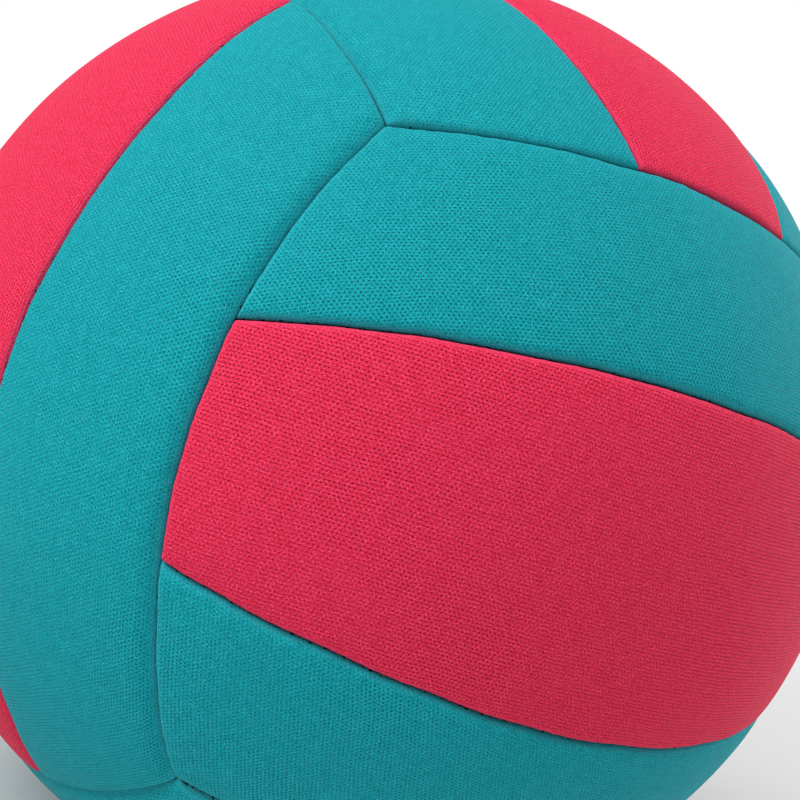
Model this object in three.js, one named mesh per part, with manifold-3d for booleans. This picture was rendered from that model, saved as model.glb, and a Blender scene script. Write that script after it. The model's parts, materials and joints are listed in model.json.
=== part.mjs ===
// Volleyball: eighteen sewn panels over a bladder with its valve, in millimetres, +Z up, resting on Z = 0.
// Six faces of three strips lie like a cube's, and the strips of a face end on the sides of its neighbours.
import * as THREE from 'three';
import { mergeVertices } from 'three/addons/utils/BufferGeometryUtils.js';
import Module from 'manifold-3d';

const wasm = await Module();
wasm.setup();

// Ball
const BALL_DIAMETER = 210;
const REST_FLAT_DEPTH = 0.5;

// Cover panels
const COVER_THICKNESS = 3.2;
const MIDDLE_STRIP_WIDTH = 63.5;
const STRIP_END_BOW = 11.2;
const SEAM_DEPTH = 1.8;
const SHOULDER_START = 1.5;
const SHOULDER_WIDTH = 5.5;
const TURN_IN_WIDTH = 5.5;

// Sewing thread in the seams
const THREAD_DIAMETER = 0.5;
const THREAD_SIDE_GAP = 0.2;
const THREAD_COVER = 1.0;
const THREAD_END_GAP = 1.0;

// Room between neighbours, and for the flats of a many-sided round face
const FIT_GAP = 0.3;
const FACET_ROOM = 0.6;

// Bladder and the ring of cloth that backs the valve
const BLADDER_WALL = 0.9;
const PATCH_DIAMETER = 36;
const PATCH_THICKNESS = 0.8;

// Valve
const VALVE_HOLE_GAP = 0.4;
const VALVE_RECESS = 0.4;
const VALVE_BODY_DIAMETER = 9.6;
const VALVE_BODY_LENGTH = 16;
const FLANGE_DIAMETER = 30;
const FLANGE_THICKNESS = 1.1;
const CORE_DIAMETER = 4.6;
const CORE_LENGTH = 12;
const CORE_RECESS = 0.8;
const COLLAR_DIAMETER = 6.2;
const COLLAR_LENGTH = 4;
const NEEDLE_BORE_DIAMETER = 1.9;

// How finely round and curved faces are divided
const STRIP_CELLS_ALONG = 10;
const MIDDLE_CELLS_ACROSS = 4;
const OUTER_CELLS_ACROSS = 2;
const THREAD_STEPS = 12;
const THREAD_SIDES = 6;
const BLADDER_SEGMENTS = 32;
const BLADDER_ROWS = 14;
const VALVE_SEGMENTS = 24;
const CAP_ROWS = 3;

// Sizes that follow from those above
const ballRadius = BALL_DIAMETER / 2;
const seamGap = THREAD_DIAMETER + 2 * THREAD_SIDE_GAP;
const coverInnerRadius = ballRadius - COVER_THICKNESS;
const threadRadius = ballRadius - SEAM_DEPTH - THREAD_COVER;
const patchOuterRadius = coverInnerRadius - FACET_ROOM - FIT_GAP;
const flangeOuterRadius = patchOuterRadius - PATCH_THICKNESS - FIT_GAP;
const flangeInnerRadius = flangeOuterRadius - FLANGE_THICKNESS;
const bladderOuterRadius = flangeInnerRadius - FIT_GAP;
const turnInRadius = bladderOuterRadius + FACET_ROOM + FIT_GAP;
const valveTop = ballRadius - VALVE_RECESS;
const valveHoleRadius = VALVE_BODY_DIAMETER / 2 + VALVE_HOLE_GAP;
const stripSeamAngle = MIDDLE_STRIP_WIDTH / 2 / ballRadius;
const bow = Math.sin(STRIP_END_BOW / ballRadius);
const cornerReach = 1 / Math.sqrt(3);
const footHalfSide = ballRadius * Math.acos(Math.sqrt(1 - REST_FLAT_DEPTH / ballRadius));

// Angles between which every strip reaches its end, and how closely such an angle is found
const shortestReach = Math.PI / 8;
const longestReach = Math.PI / 3;
const angleTolerance = 1e-11;

// Finishes
const tealKnit = finish('#2aa1a9', 0.92);
const pinkKnit = finish('#e03a60', 0.92);
const seamThread = finish('#1d3a40', 0.8);
const bladderRubber = finish('#232325', 0.6);
const valveRubber = finish('#2b2b2d', 0.55);
const patchCloth = finish('#c9c4b8', 0.95);

function finish(color, roughness) {
  return new THREE.MeshStandardMaterial({ color, roughness, metalness: 0 });
}

// The six faces: outward normal, direction along the strips and direction across them
const faces = [
  {
    name: 'front',
    normal: [0, -1, 0],
    along: [1, 0, 0],
    across: [0, 0, 1],
    lowName: 'lower',
    highName: 'upper',
    lowNeighbour: 'bottom',
    highNeighbour: 'top',
  },
  {
    name: 'back',
    normal: [0, 1, 0],
    along: [-1, 0, 0],
    across: [0, 0, 1],
    lowName: 'lower',
    highName: 'upper',
    lowNeighbour: 'bottom',
    highNeighbour: 'top',
  },
  {
    name: 'left',
    normal: [-1, 0, 0],
    along: [0, 0, 1],
    across: [0, 1, 0],
    lowName: 'front',
    highName: 'back',
    lowNeighbour: 'front',
    highNeighbour: 'back',
  },
  {
    name: 'right',
    normal: [1, 0, 0],
    along: [0, 0, 1],
    across: [0, -1, 0],
    lowName: 'back',
    highName: 'front',
    lowNeighbour: 'back',
    highNeighbour: 'front',
  },
  {
    name: 'top',
    normal: [0, 0, 1],
    along: [0, 1, 0],
    across: [-1, 0, 0],
    lowName: 'right',
    highName: 'left',
    lowNeighbour: 'right',
    highNeighbour: 'left',
  },
  {
    name: 'bottom',
    normal: [0, 0, -1],
    along: [0, 1, 0],
    across: [1, 0, 0],
    lowName: 'left',
    highName: 'right',
    lowNeighbour: 'left',
    highNeighbour: 'right',
  },
];

// A face's frame, turned half round its normal when it is seen from its low side
function faceFrame(face, side) {
  return {
    normal: new THREE.Vector3(...face.normal),
    along: new THREE.Vector3(...face.along).multiplyScalar(side),
    across: new THREE.Vector3(...face.across).multiplyScalar(side),
  };
}

// Direction from the ball's centre at an angle along the strips and an angle across them
function directionAt(frame, alongAngle, acrossAngle) {
  const flat = Math.cos(alongAngle);
  return new THREE.Vector3()
    .addScaledVector(frame.normal, flat * Math.cos(acrossAngle))
    .addScaledVector(frame.across, flat * Math.sin(acrossAngle))
    .addScaledVector(frame.along, Math.sin(alongAngle));
}

// Distance over the ball from a bowed face edge, positive on the side of the normal
function edgeDistance(direction, normal, across, along) {
  const t = direction.dot(along);
  const lean = (direction.dot(normal) - direction.dot(across)) / Math.SQRT2;
  const slope = Math.sqrt(1 + (6 * bow * t) ** 2 - (bow * (1 + 3 * t * t)) ** 2);
  return ballRadius * (lean - bow * (1 - 3 * t * t)) / slope;
}

// Distance inside the long edge of a face
function longEdgeDistance(frame, direction) {
  return edgeDistance(direction, frame.normal, frame.across, frame.along);
}

// Distance inside the strip ends of a face, on the end that the direction leans to
function endDistance(frame, direction) {
  const reach = direction.dot(frame.along) < 0 ? -1 : 1;
  const neighbour = frame.along.clone().multiplyScalar(reach);
  return -edgeDistance(direction, neighbour, frame.normal, frame.across);
}

// Distance beyond the straight seam between a middle strip and the outer strip on its high side
function stripSeamDistance(frame, direction) {
  const side = frame.across.clone().multiplyScalar(Math.cos(stripSeamAngle));
  side.addScaledVector(frame.normal, -Math.sin(stripSeamAngle));
  return ballRadius * Math.asin(direction.dot(side));
}

// Where a rising or falling function passes zero between two values
function crossing(valueAt, low, high) {
  const rising = valueAt(high) > 0;
  let from = low;
  let to = high;
  while (to - from > angleTolerance) {
    const middle = (from + to) / 2;
    if ((valueAt(middle) > 0) === rising) {
      to = middle;
    } else {
      from = middle;
    }
  }
  return (from + to) / 2;
}

// Distances from a panel's cut edges to a direction inside it
function panelInset(panel, direction) {
  const { frame } = panel;
  const distances = [endDistance(frame, direction)];
  if (panel.isMiddle) {
    distances.push(-stripSeamDistance(frame, direction));
    distances.push(-stripSeamDistance({ ...frame, across: frame.across.clone().negate() }, direction));
  } else {
    distances.push(stripSeamDistance(frame, direction));
    distances.push(longEdgeDistance(frame, direction));
  }
  return Math.min(...distances) - seamGap / 2;
}

// Angles across the strips of a panel's two long sides, at an angle along them
function panelSides(panel, alongAngle) {
  const { frame } = panel;
  const half = seamGap / 2;
  const beyondSeam = (angle) => stripSeamDistance(frame, directionAt(frame, alongAngle, angle));
  if (panel.isMiddle) {
    const high = crossing((angle) => beyondSeam(angle) + half, 0, 2 * stripSeamAngle);
    return [-high, high];
  }
  const insideEdge = (angle) => longEdgeDistance(frame, directionAt(frame, alongAngle, angle));
  const low = crossing((angle) => beyondSeam(angle) - half, 0, 2 * stripSeamAngle);
  const high = crossing((angle) => insideEdge(angle) - half, low, Math.PI / 2);
  return [low, high];
}

// Direction at a share of the way across a panel and an angle along it
function panelDirection(panel, alongAngle, share) {
  const [low, high] = panelSides(panel, alongAngle);
  return directionAt(panel.frame, alongAngle, low + share * (high - low));
}

// Angle along the strips at which a panel ends, at a share of the way across it
function panelEnd(panel, share) {
  const room = (angle) => endDistance(panel.frame, panelDirection(panel, angle, share)) - seamGap / 2;
  return crossing(room, shortestReach, longestReach);
}

// Shares from 0 to 1 with rows at the rolled shoulder of both borders and even cells between.
// On a panel with the flat foot, the middle row gives way to the foot's two sides.
function borderedRows(width, cells, hasFoot) {
  const start = SHOULDER_START / width;
  const end = SHOULDER_WIDTH / width;
  const rows = [0, start];
  for (let cell = 0; cell <= cells; cell += 1) {
    if (hasFoot && 2 * cell === cells) {
      rows.push(0.5 - footHalfSide / width, 0.5 + footHalfSide / width);
    } else {
      rows.push(end + (1 - 2 * end) * cell / cells);
    }
  }
  rows.push(1 - start, 1);
  return rows;
}

// Radius of a panel's outer face, rolled down to its seams like an upholstered edge
function outerRadiusAt(inset) {
  const roll = Math.max(0, 1 - inset / SHOULDER_WIDTH);
  return ballRadius - SEAM_DEPTH * (1 - Math.sqrt(Math.max(0, 1 - roll * roll)));
}

// Radius of a panel's inner face, thickened by the turned-in edge that the seam is sewn through
function innerRadiusAt(inset) {
  const share = (TURN_IN_WIDTH - inset) / (TURN_IN_WIDTH - SHOULDER_START);
  return THREE.MathUtils.lerp(coverInnerRadius, turnInRadius, THREE.MathUtils.clamp(share, 0, 1));
}

// Directions and insets over a panel, as rows across it
function panelGrid(panel) {
  const length = 2 * ballRadius * panelEnd(panel, 0.5);
  const [low, high] = panelSides(panel, 0);
  const alongRows = borderedRows(length, STRIP_CELLS_ALONG, panel.hasFoot);
  const acrossRows = borderedRows(ballRadius * (high - low), panel.cellsAcross, panel.hasFoot);
  return acrossRows.map((share) => {
    const end = panelEnd(panel, share);
    return alongRows.map((alongShare) => {
      const direction = panelDirection(panel, end * (2 * alongShare - 1), share);
      return { direction, inset: Math.max(0, panelInset(panel, direction)) };
    });
  });
}

// Closed solid between the outer and the inner face of a panel
function panelGeometry(panel) {
  const grid = panelGrid(panel);
  const rows = grid.length;
  const columns = grid[0].length;
  const positions = [];
  for (const radiusAt of [outerRadiusAt, innerRadiusAt]) {
    for (const { direction, inset } of grid.flat()) {
      positions.push(...direction.clone().multiplyScalar(radiusAt(inset)).toArray());
    }
  }
  const outer = (row, column) => row * columns + column;
  const inner = (row, column) => rows * columns + outer(row, column);
  const indices = [];
  const quad = (a, b, c, d) => indices.push(a, b, c, a, c, d);
  for (let row = 0; row < rows - 1; row += 1) {
    for (let column = 0; column < columns - 1; column += 1) {
      quad(outer(row, column), outer(row, column + 1), outer(row + 1, column + 1), outer(row + 1, column));
      quad(inner(row, column), inner(row + 1, column), inner(row + 1, column + 1), inner(row, column + 1));
    }
  }
  for (let column = 0; column < columns - 1; column += 1) {
    quad(outer(0, column + 1), outer(0, column), inner(0, column), inner(0, column + 1));
    const last = rows - 1;
    quad(outer(last, column), outer(last, column + 1), inner(last, column + 1), inner(last, column));
  }
  for (let row = 0; row < rows - 1; row += 1) {
    quad(outer(row, 0), outer(row + 1, 0), inner(row + 1, 0), inner(row, 0));
    const last = columns - 1;
    quad(outer(row + 1, last), outer(row, last), inner(row, last), inner(row + 1, last));
  }
  return closedGeometry(positions, indices);
}

function closedGeometry(positions, indices) {
  const geometry = new THREE.BufferGeometry();
  geometry.setAttribute('position', new THREE.Float32BufferAttribute(positions, 3));
  geometry.setIndex(indices);
  geometry.computeVertexNormals();
  return geometry;
}

// A closed mesh as a solid that can be cut
function solidOf(geometry) {
  const bare = geometry.clone();
  bare.deleteAttribute('normal');
  bare.deleteAttribute('uv');
  const merged = mergeVertices(bare);
  const mesh = new wasm.Mesh({
    numProp: 3,
    vertProperties: new Float32Array(merged.attributes.position.array),
    triVerts: new Uint32Array(merged.index.array),
  });
  return new wasm.Manifold(mesh);
}

// The first closed mesh with the space of the second one cut away
function cutAway(geometry, tool) {
  const mesh = solidOf(geometry).subtract(solidOf(tool)).getMesh();
  return closedGeometry(Array.from(mesh.vertProperties), Array.from(mesh.triVerts));
}

// The round hole through the cover for the valve
function valveHole() {
  const length = 4 * COVER_THICKNESS;
  const hole = new THREE.CylinderGeometry(valveHoleRadius, valveHoleRadius, length, VALVE_SEGMENTS);
  return hole.rotateZ(-Math.PI / 2).translate(ballRadius - COVER_THICKNESS / 2, 0, 0);
}

// Tube of thread along a seam, through directions that share one radius
function threadGeometry(directions) {
  const points = directions.map((direction) => direction.clone().multiplyScalar(threadRadius));
  const section = new THREE.Shape();
  for (let side = 0; side < THREAD_SIDES; side += 1) {
    const angle = 2 * Math.PI * side / THREAD_SIDES;
    const corner = [THREAD_DIAMETER / 2 * Math.cos(angle), THREAD_DIAMETER / 2 * Math.sin(angle)];
    if (side === 0) {
      section.moveTo(...corner);
    } else {
      section.lineTo(...corner);
    }
  }
  section.closePath();
  return new THREE.ExtrudeGeometry(section, {
    steps: THREAD_STEPS,
    bevelEnabled: false,
    extrudePath: new THREE.CatmullRomCurve3(points),
  });
}

// Evenly spaced values from one end to the other
function spread(from, to, count) {
  return Array.from({ length: count }, (_, index) => from + (to - from) * index / (count - 1));
}

// Directions along the seam between a middle strip and the outer strip on its high side
function stripSeamDirections(frame) {
  const stop = THREAD_DIAMETER + THREAD_END_GAP;
  const room = (angle) => endDistance(frame, directionAt(frame, angle, stripSeamAngle)) - stop;
  const reach = crossing(room, shortestReach, longestReach);
  return spread(-reach, reach, THREAD_STEPS + 1).map((angle) => directionAt(frame, angle, stripSeamAngle));
}

// Directions along the bowed seam on the high side of a face
function faceSeamDirections(frame) {
  const reach = cornerReach - THREAD_END_GAP / ballRadius;
  return spread(-reach, reach, THREAD_STEPS + 1).map((t) => {
    const lean = Math.SQRT2 * bow * (1 - 3 * t * t);
    const outward = (Math.sqrt(2 * (1 - t * t) - lean * lean) - lean) / 2;
    return new THREE.Vector3()
      .addScaledVector(frame.normal, outward + lean)
      .addScaledVector(frame.across, outward)
      .addScaledVector(frame.along, t);
  });
}

// Solid of revolution about the valve's axis, from points of radius and distance from the ball's centre
function turned(profile, segments) {
  const points = profile.map(([radius, height]) => new THREE.Vector2(radius, height));
  return new THREE.LatheGeometry(points, segments).rotateZ(-Math.PI / 2);
}

// Profile points of an arc about the ball's centre, between two distances from the valve's axis
function capArc(sphereRadius, fromRadius, toRadius) {
  return spread(Math.asin(fromRadius / sphereRadius), Math.asin(toRadius / sphereRadius), CAP_ROWS + 1)
    .map((angle) => [sphereRadius * Math.sin(angle), sphereRadius * Math.cos(angle)]);
}

function bladderGeometry() {
  const arc = (radius) => {
    const mouth = Math.asin(valveHoleRadius / radius);
    return spread(Math.PI, mouth, BLADDER_ROWS + 1)
      .map((angle) => [radius * Math.sin(angle), radius * Math.cos(angle)]);
  };
  const outer = arc(bladderOuterRadius);
  const inner = arc(bladderOuterRadius - BLADDER_WALL).reverse();
  outer[0][0] = 0;
  inner[inner.length - 1][0] = 0;
  return turned([...outer, ...inner], BLADDER_SEGMENTS);
}

function valvePatchGeometry() {
  const outer = capArc(patchOuterRadius, valveHoleRadius, PATCH_DIAMETER / 2);
  const inner = capArc(patchOuterRadius - PATCH_THICKNESS, PATCH_DIAMETER / 2, valveHoleRadius);
  return turned([...inner, ...outer, inner[0]].reverse(), VALVE_SEGMENTS);
}

function valveHousingGeometry() {
  const bodyRadius = VALVE_BODY_DIAMETER / 2;
  const boreRadius = CORE_DIAMETER / 2 + FIT_GAP;
  const grooveRadius = COLLAR_DIAMETER / 2 + FIT_GAP;
  const bottom = valveTop - VALVE_BODY_LENGTH;
  const collarMiddle = valveTop - CORE_RECESS - CORE_LENGTH / 2;
  const grooveTop = collarMiddle + COLLAR_LENGTH / 2 + FIT_GAP;
  const grooveBottom = collarMiddle - COLLAR_LENGTH / 2 - FIT_GAP;
  const profile = [
    [boreRadius, bottom],
    [bodyRadius, bottom],
    ...capArc(flangeInnerRadius, bodyRadius, FLANGE_DIAMETER / 2),
    ...capArc(flangeOuterRadius, FLANGE_DIAMETER / 2, bodyRadius),
    [bodyRadius, valveTop],
    [boreRadius, valveTop],
    [boreRadius, grooveTop],
    [grooveRadius, grooveTop],
    [grooveRadius, grooveBottom],
    [boreRadius, grooveBottom],
    [boreRadius, bottom],
  ];
  return turned(profile, VALVE_SEGMENTS);
}

function valveCoreGeometry() {
  const needleRadius = NEEDLE_BORE_DIAMETER / 2;
  const coreRadius = CORE_DIAMETER / 2;
  const collarRadius = COLLAR_DIAMETER / 2;
  const top = valveTop - CORE_RECESS;
  const bottom = top - CORE_LENGTH;
  const middle = (top + bottom) / 2;
  const profile = [
    [needleRadius, bottom],
    [coreRadius, bottom],
    [coreRadius, middle - COLLAR_LENGTH / 2],
    [collarRadius, middle - COLLAR_LENGTH / 2],
    [collarRadius, middle + COLLAR_LENGTH / 2],
    [coreRadius, middle + COLLAR_LENGTH / 2],
    [coreRadius, top],
    [needleRadius, top],
    [needleRadius, bottom],
  ];
  return turned(profile, VALVE_SEGMENTS);
}

function addPiece(group, name, geometry, material) {
  const mesh = new THREE.Mesh(geometry, material);
  mesh.name = name;
  group.add(mesh);
}

// A face's three strips, with the flat foot under the bottom one and the valve hole through the right one
function addPanels(group, face) {
  const middle = {
    frame: faceFrame(face, 1),
    isMiddle: true,
    hasFoot: face.name === 'bottom',
    cellsAcross: MIDDLE_CELLS_ACROSS,
  };
  let middleGeometry = panelGeometry(middle);
  if (face.name === 'right') {
    middleGeometry = cutAway(middleGeometry, valveHole());
  }
  addPiece(group, `${face.name}_middle_panel`, middleGeometry, pinkKnit);
  for (const [side, label] of [[-1, face.lowName], [1, face.highName]]) {
    const outer = {
      frame: faceFrame(face, side),
      isMiddle: false,
      hasFoot: false,
      cellsAcross: OUTER_CELLS_ACROSS,
    };
    addPiece(group, `${face.name}_${label}_panel`, panelGeometry(outer), tealKnit);
  }
}

// The thread in a face's two strip seams and in the seams along its two long edges
function addSeams(group, face) {
  const sides = [
    [-1, face.lowName, face.lowNeighbour],
    [1, face.highName, face.highNeighbour],
  ];
  for (const [side, label, neighbour] of sides) {
    const frame = faceFrame(face, side);
    const stripSeam = threadGeometry(stripSeamDirections(frame));
    addPiece(group, `${face.name}_${label}_strip_seam`, stripSeam, seamThread);
    const faceSeam = threadGeometry(faceSeamDirections(frame));
    addPiece(group, `${face.name}_to_${neighbour}_seam`, faceSeam, seamThread);
  }
}

function addValve(group) {
  addPiece(group, 'bladder', bladderGeometry(), bladderRubber);
  addPiece(group, 'valve_backing_ring', valvePatchGeometry(), patchCloth);
  addPiece(group, 'valve_housing', valveHousingGeometry(), valveRubber);
  addPiece(group, 'valve_core', valveCoreGeometry(), valveRubber);
}

const volleyball = new THREE.Group();
for (const face of faces) {
  addPanels(volleyball, face);
}
for (const face of faces) {
  addSeams(volleyball, face);
}
addValve(volleyball);

// The foot stands on Z = 0
volleyball.position.z = -new THREE.Box3().setFromObject(volleyball).min.z;

export default volleyball;
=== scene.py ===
"""A volleyball with a padded, knitted cover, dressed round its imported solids.

Eighteen sewn panels are shaped by the same seam rules as the solids, with rolled lips, a crown and
puckers along the seams. Shape rules work in millimetres from the ball's centre; finished meshes are
in metres in the row frame.
"""

import json
import logging
import math
from collections.abc import Callable, Sequence
from dataclasses import asdict, dataclass
from enum import Enum
from functools import partial

import bmesh
import bpy
import numpy as np
from mathutils import Matrix, Vector

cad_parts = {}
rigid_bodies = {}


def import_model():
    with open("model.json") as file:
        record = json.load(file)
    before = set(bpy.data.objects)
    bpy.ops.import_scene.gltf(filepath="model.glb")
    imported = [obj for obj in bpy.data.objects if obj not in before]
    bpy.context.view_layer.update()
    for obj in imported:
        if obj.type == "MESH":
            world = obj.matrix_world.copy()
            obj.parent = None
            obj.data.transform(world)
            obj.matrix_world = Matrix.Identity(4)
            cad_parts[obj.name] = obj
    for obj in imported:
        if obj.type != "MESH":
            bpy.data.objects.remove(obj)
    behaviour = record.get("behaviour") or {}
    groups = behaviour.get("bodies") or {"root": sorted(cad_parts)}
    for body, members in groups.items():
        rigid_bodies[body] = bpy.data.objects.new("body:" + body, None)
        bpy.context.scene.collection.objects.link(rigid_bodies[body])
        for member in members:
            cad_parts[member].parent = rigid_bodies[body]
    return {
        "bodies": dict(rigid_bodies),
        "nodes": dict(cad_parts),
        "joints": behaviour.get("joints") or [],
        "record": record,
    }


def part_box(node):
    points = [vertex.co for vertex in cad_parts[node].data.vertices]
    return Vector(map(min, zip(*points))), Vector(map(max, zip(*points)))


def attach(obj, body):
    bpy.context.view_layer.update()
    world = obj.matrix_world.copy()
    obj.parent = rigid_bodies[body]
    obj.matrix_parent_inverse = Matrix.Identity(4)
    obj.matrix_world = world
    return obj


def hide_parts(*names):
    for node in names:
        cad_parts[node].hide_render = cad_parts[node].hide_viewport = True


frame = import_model()

MM = 0.001
BODY = "root"
CLOTH_MAP = "cloth"
SEAM_MARK = "seam_distance"
ORIGIN = (0.0, 0.0, 0.0)
WHITE = (1.0, 1.0, 1.0, 1.0)
# The backing cloth's thread spacing in millimetres.
BACKING_THREAD = 0.35
VALVE_PANEL = "right_middle_panel"
BACKING_RING = "valve_backing_ring"
# How far the knit is turned on the panels that the photograph shows, in degrees.
KNOWN_LAYS = {"front_middle_panel": 1.0, "front_upper_panel": -3.5, "left_front_panel": -2.5}
# How often a search halves its range, the angles between which a strip ends, and one across the
# strips that lies beyond every seam.
HALVINGS = 44
END_RANGE = (math.pi / 8, math.pi / 3)
FAR_ACROSS = math.pi / 2.2
# Points of a turned piece closer than this, in metres, are one; sharper turns than this are edges.
MERGE_DISTANCE = 1e-6
SHARP_ANGLE = math.radians(40)

Array = np.ndarray
Pair = tuple[float, float]
Triple = tuple[float, float, float]
Socket = bpy.types.NodeSocket
Sockets = bpy.types.NodeOutputs
Look = tuple[Socket, Socket, Socket]
Node = bpy.types.Node
Tree = bpy.types.NodeTree
Material = bpy.types.Material
Piece = bpy.types.Object
Feed = float | int | Sequence[float] | Socket | Material
Feeds = dict[str | int, Feed]

log = logging.getLogger("volleyball")


class Bench:
    """Adds nodes to one node tree, with their values and links given together."""

    def __init__(self, tree: Tree) -> None:
        """Starts on a tree."""
        self.tree = tree

    def add(self, kind: str, inputs: Feeds | None = None, **settings: object) -> Node:
        """Adds one node.

        Args:
            kind: The node's Blender type name.
            inputs: Values or linked sockets by input name or number.
            **settings: Properties to set on the node before its inputs.

        Returns:
            The new node.
        """
        node = self.tree.nodes.new(kind)
        for name, value in settings.items():
            setattr(node, name, value)
        for name, value in (inputs or {}).items():
            if isinstance(value, Socket):
                self.tree.links.new(value, node.inputs[name])
            else:
                node.inputs[name].default_value = value
        return node

    def math(self, operation: str, *values: Feed) -> Socket:
        """Gives the result of a Math node for its inputs in order."""
        return self.add("ShaderNodeMath", dict(enumerate(values)), operation=operation).outputs[0]

    def centred(self, value: Feed) -> Socket:
        """Takes a half away, so that what ran from 0 to 1 runs about zero."""
        return self.math("SUBTRACT", value, 0.5)

    def vector_math(self, operation: str, inputs: Feeds) -> Socket:
        """Gives the vector of a Vector Math node for inputs by name or number."""
        return self.add("ShaderNodeVectorMath", inputs, operation=operation).outputs["Vector"]

    def step(self, value: Feed, span: Pair, ends: Pair = (0.0, 1.0)) -> Socket:
        """Adds a smooth step.

        Args:
            value: What is followed.
            span: The values at which the step starts and is done.
            ends: What it gives before and after.

        Returns:
            The step's value.
        """
        names = ("Value", "From Min", "From Max", "To Min", "To Max")
        inputs = dict(zip(names, (value, *span, *ends)))
        return self.add("ShaderNodeMapRange", inputs, interpolation_type="SMOOTHSTEP").outputs[0]

    def blend(self, factor: Feed, first: Feed, second: Feed) -> Socket:
        """Gives the mix of two colours, of which the factor is the second one's share."""
        inputs = {0: factor, 6: first, 7: second}
        return self.add("ShaderNodeMix", inputs, data_type="RGBA").outputs[2]

    def noise(
        self, place: Feed, scale: Feed, detail: float, rough: float = 0.5, dimensions: str = "3D"
    ) -> Node:
        """Adds a noise texture over a place."""
        inputs = {"Vector": place, "Scale": scale, "Detail": detail, "Roughness": rough}
        return self.add("ShaderNodeTexNoise", inputs, noise_dimensions=dimensions)

    def place(self, group: Tree, inputs: Feeds) -> Sockets:
        """Places a shader node group and gives its outputs."""
        return self.add("ShaderNodeGroup", inputs, node_tree=group).outputs

    def seen(self) -> Socket:
        """Tells the rays by which a surface is seen from those that light it.

        Returns:
            1 for rays that see it straight, in a gloss or through glass, and else 0.
        """
        path = self.add("ShaderNodeLightPath").outputs
        straight = self.math("MAXIMUM", path["Is Camera Ray"], path["Is Glossy Ray"])
        return self.math("MAXIMUM", straight, path["Is Transmission Ray"])


def new_group(name: str, inputs: Feeds, outputs: Sequence[str]) -> tuple[Bench, Sockets]:
    """Makes a shader node group with its sockets.

    Args:
        name: The group's name.
        inputs: Each input's name and default; a triple makes a vector socket.
        outputs: The names of the values that it puts out.

    Returns:
        A bench on the group and the sockets that bring its inputs in.
    """
    bench = Bench(bpy.data.node_groups.new(name, "ShaderNodeTree"))
    new_socket = bench.tree.interface.new_socket
    for label, value in inputs.items():
        kind = "NodeSocketVector" if isinstance(value, tuple) else "NodeSocketFloat"
        new_socket(label, in_out="INPUT", socket_type=kind).default_value = value
    for label in outputs:
        new_socket(label, in_out="OUTPUT", socket_type="NodeSocketFloat")
    return bench, bench.add("NodeGroupInput").outputs


@dataclass(frozen=True)
class Gauge:
    """How a cloth is knitted: spacings and holes in millimetres, the rest as shares."""

    row_spacing: float = 0.69
    stitch_spacing: float = 0.79
    row_shift: float = 0.5
    hole_length: float = 0.3
    hole_width: float = 0.25
    hole_spread: float = 0.5
    scatter: float = 0.22
    wander: float = 0.2
    row_furrow: float = 0.6
    rising_furrow: float = 0.2
    falling_furrow: float = 0.2
    fibre_scale: float = 4.5
    fibre_relief: float = 0.4

    def inputs(self) -> dict[str, float]:
        """Gives the values under the names of the knit group's inputs."""
        return {name.replace("_", " ").title(): value for name, value in asdict(self).items()}


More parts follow.
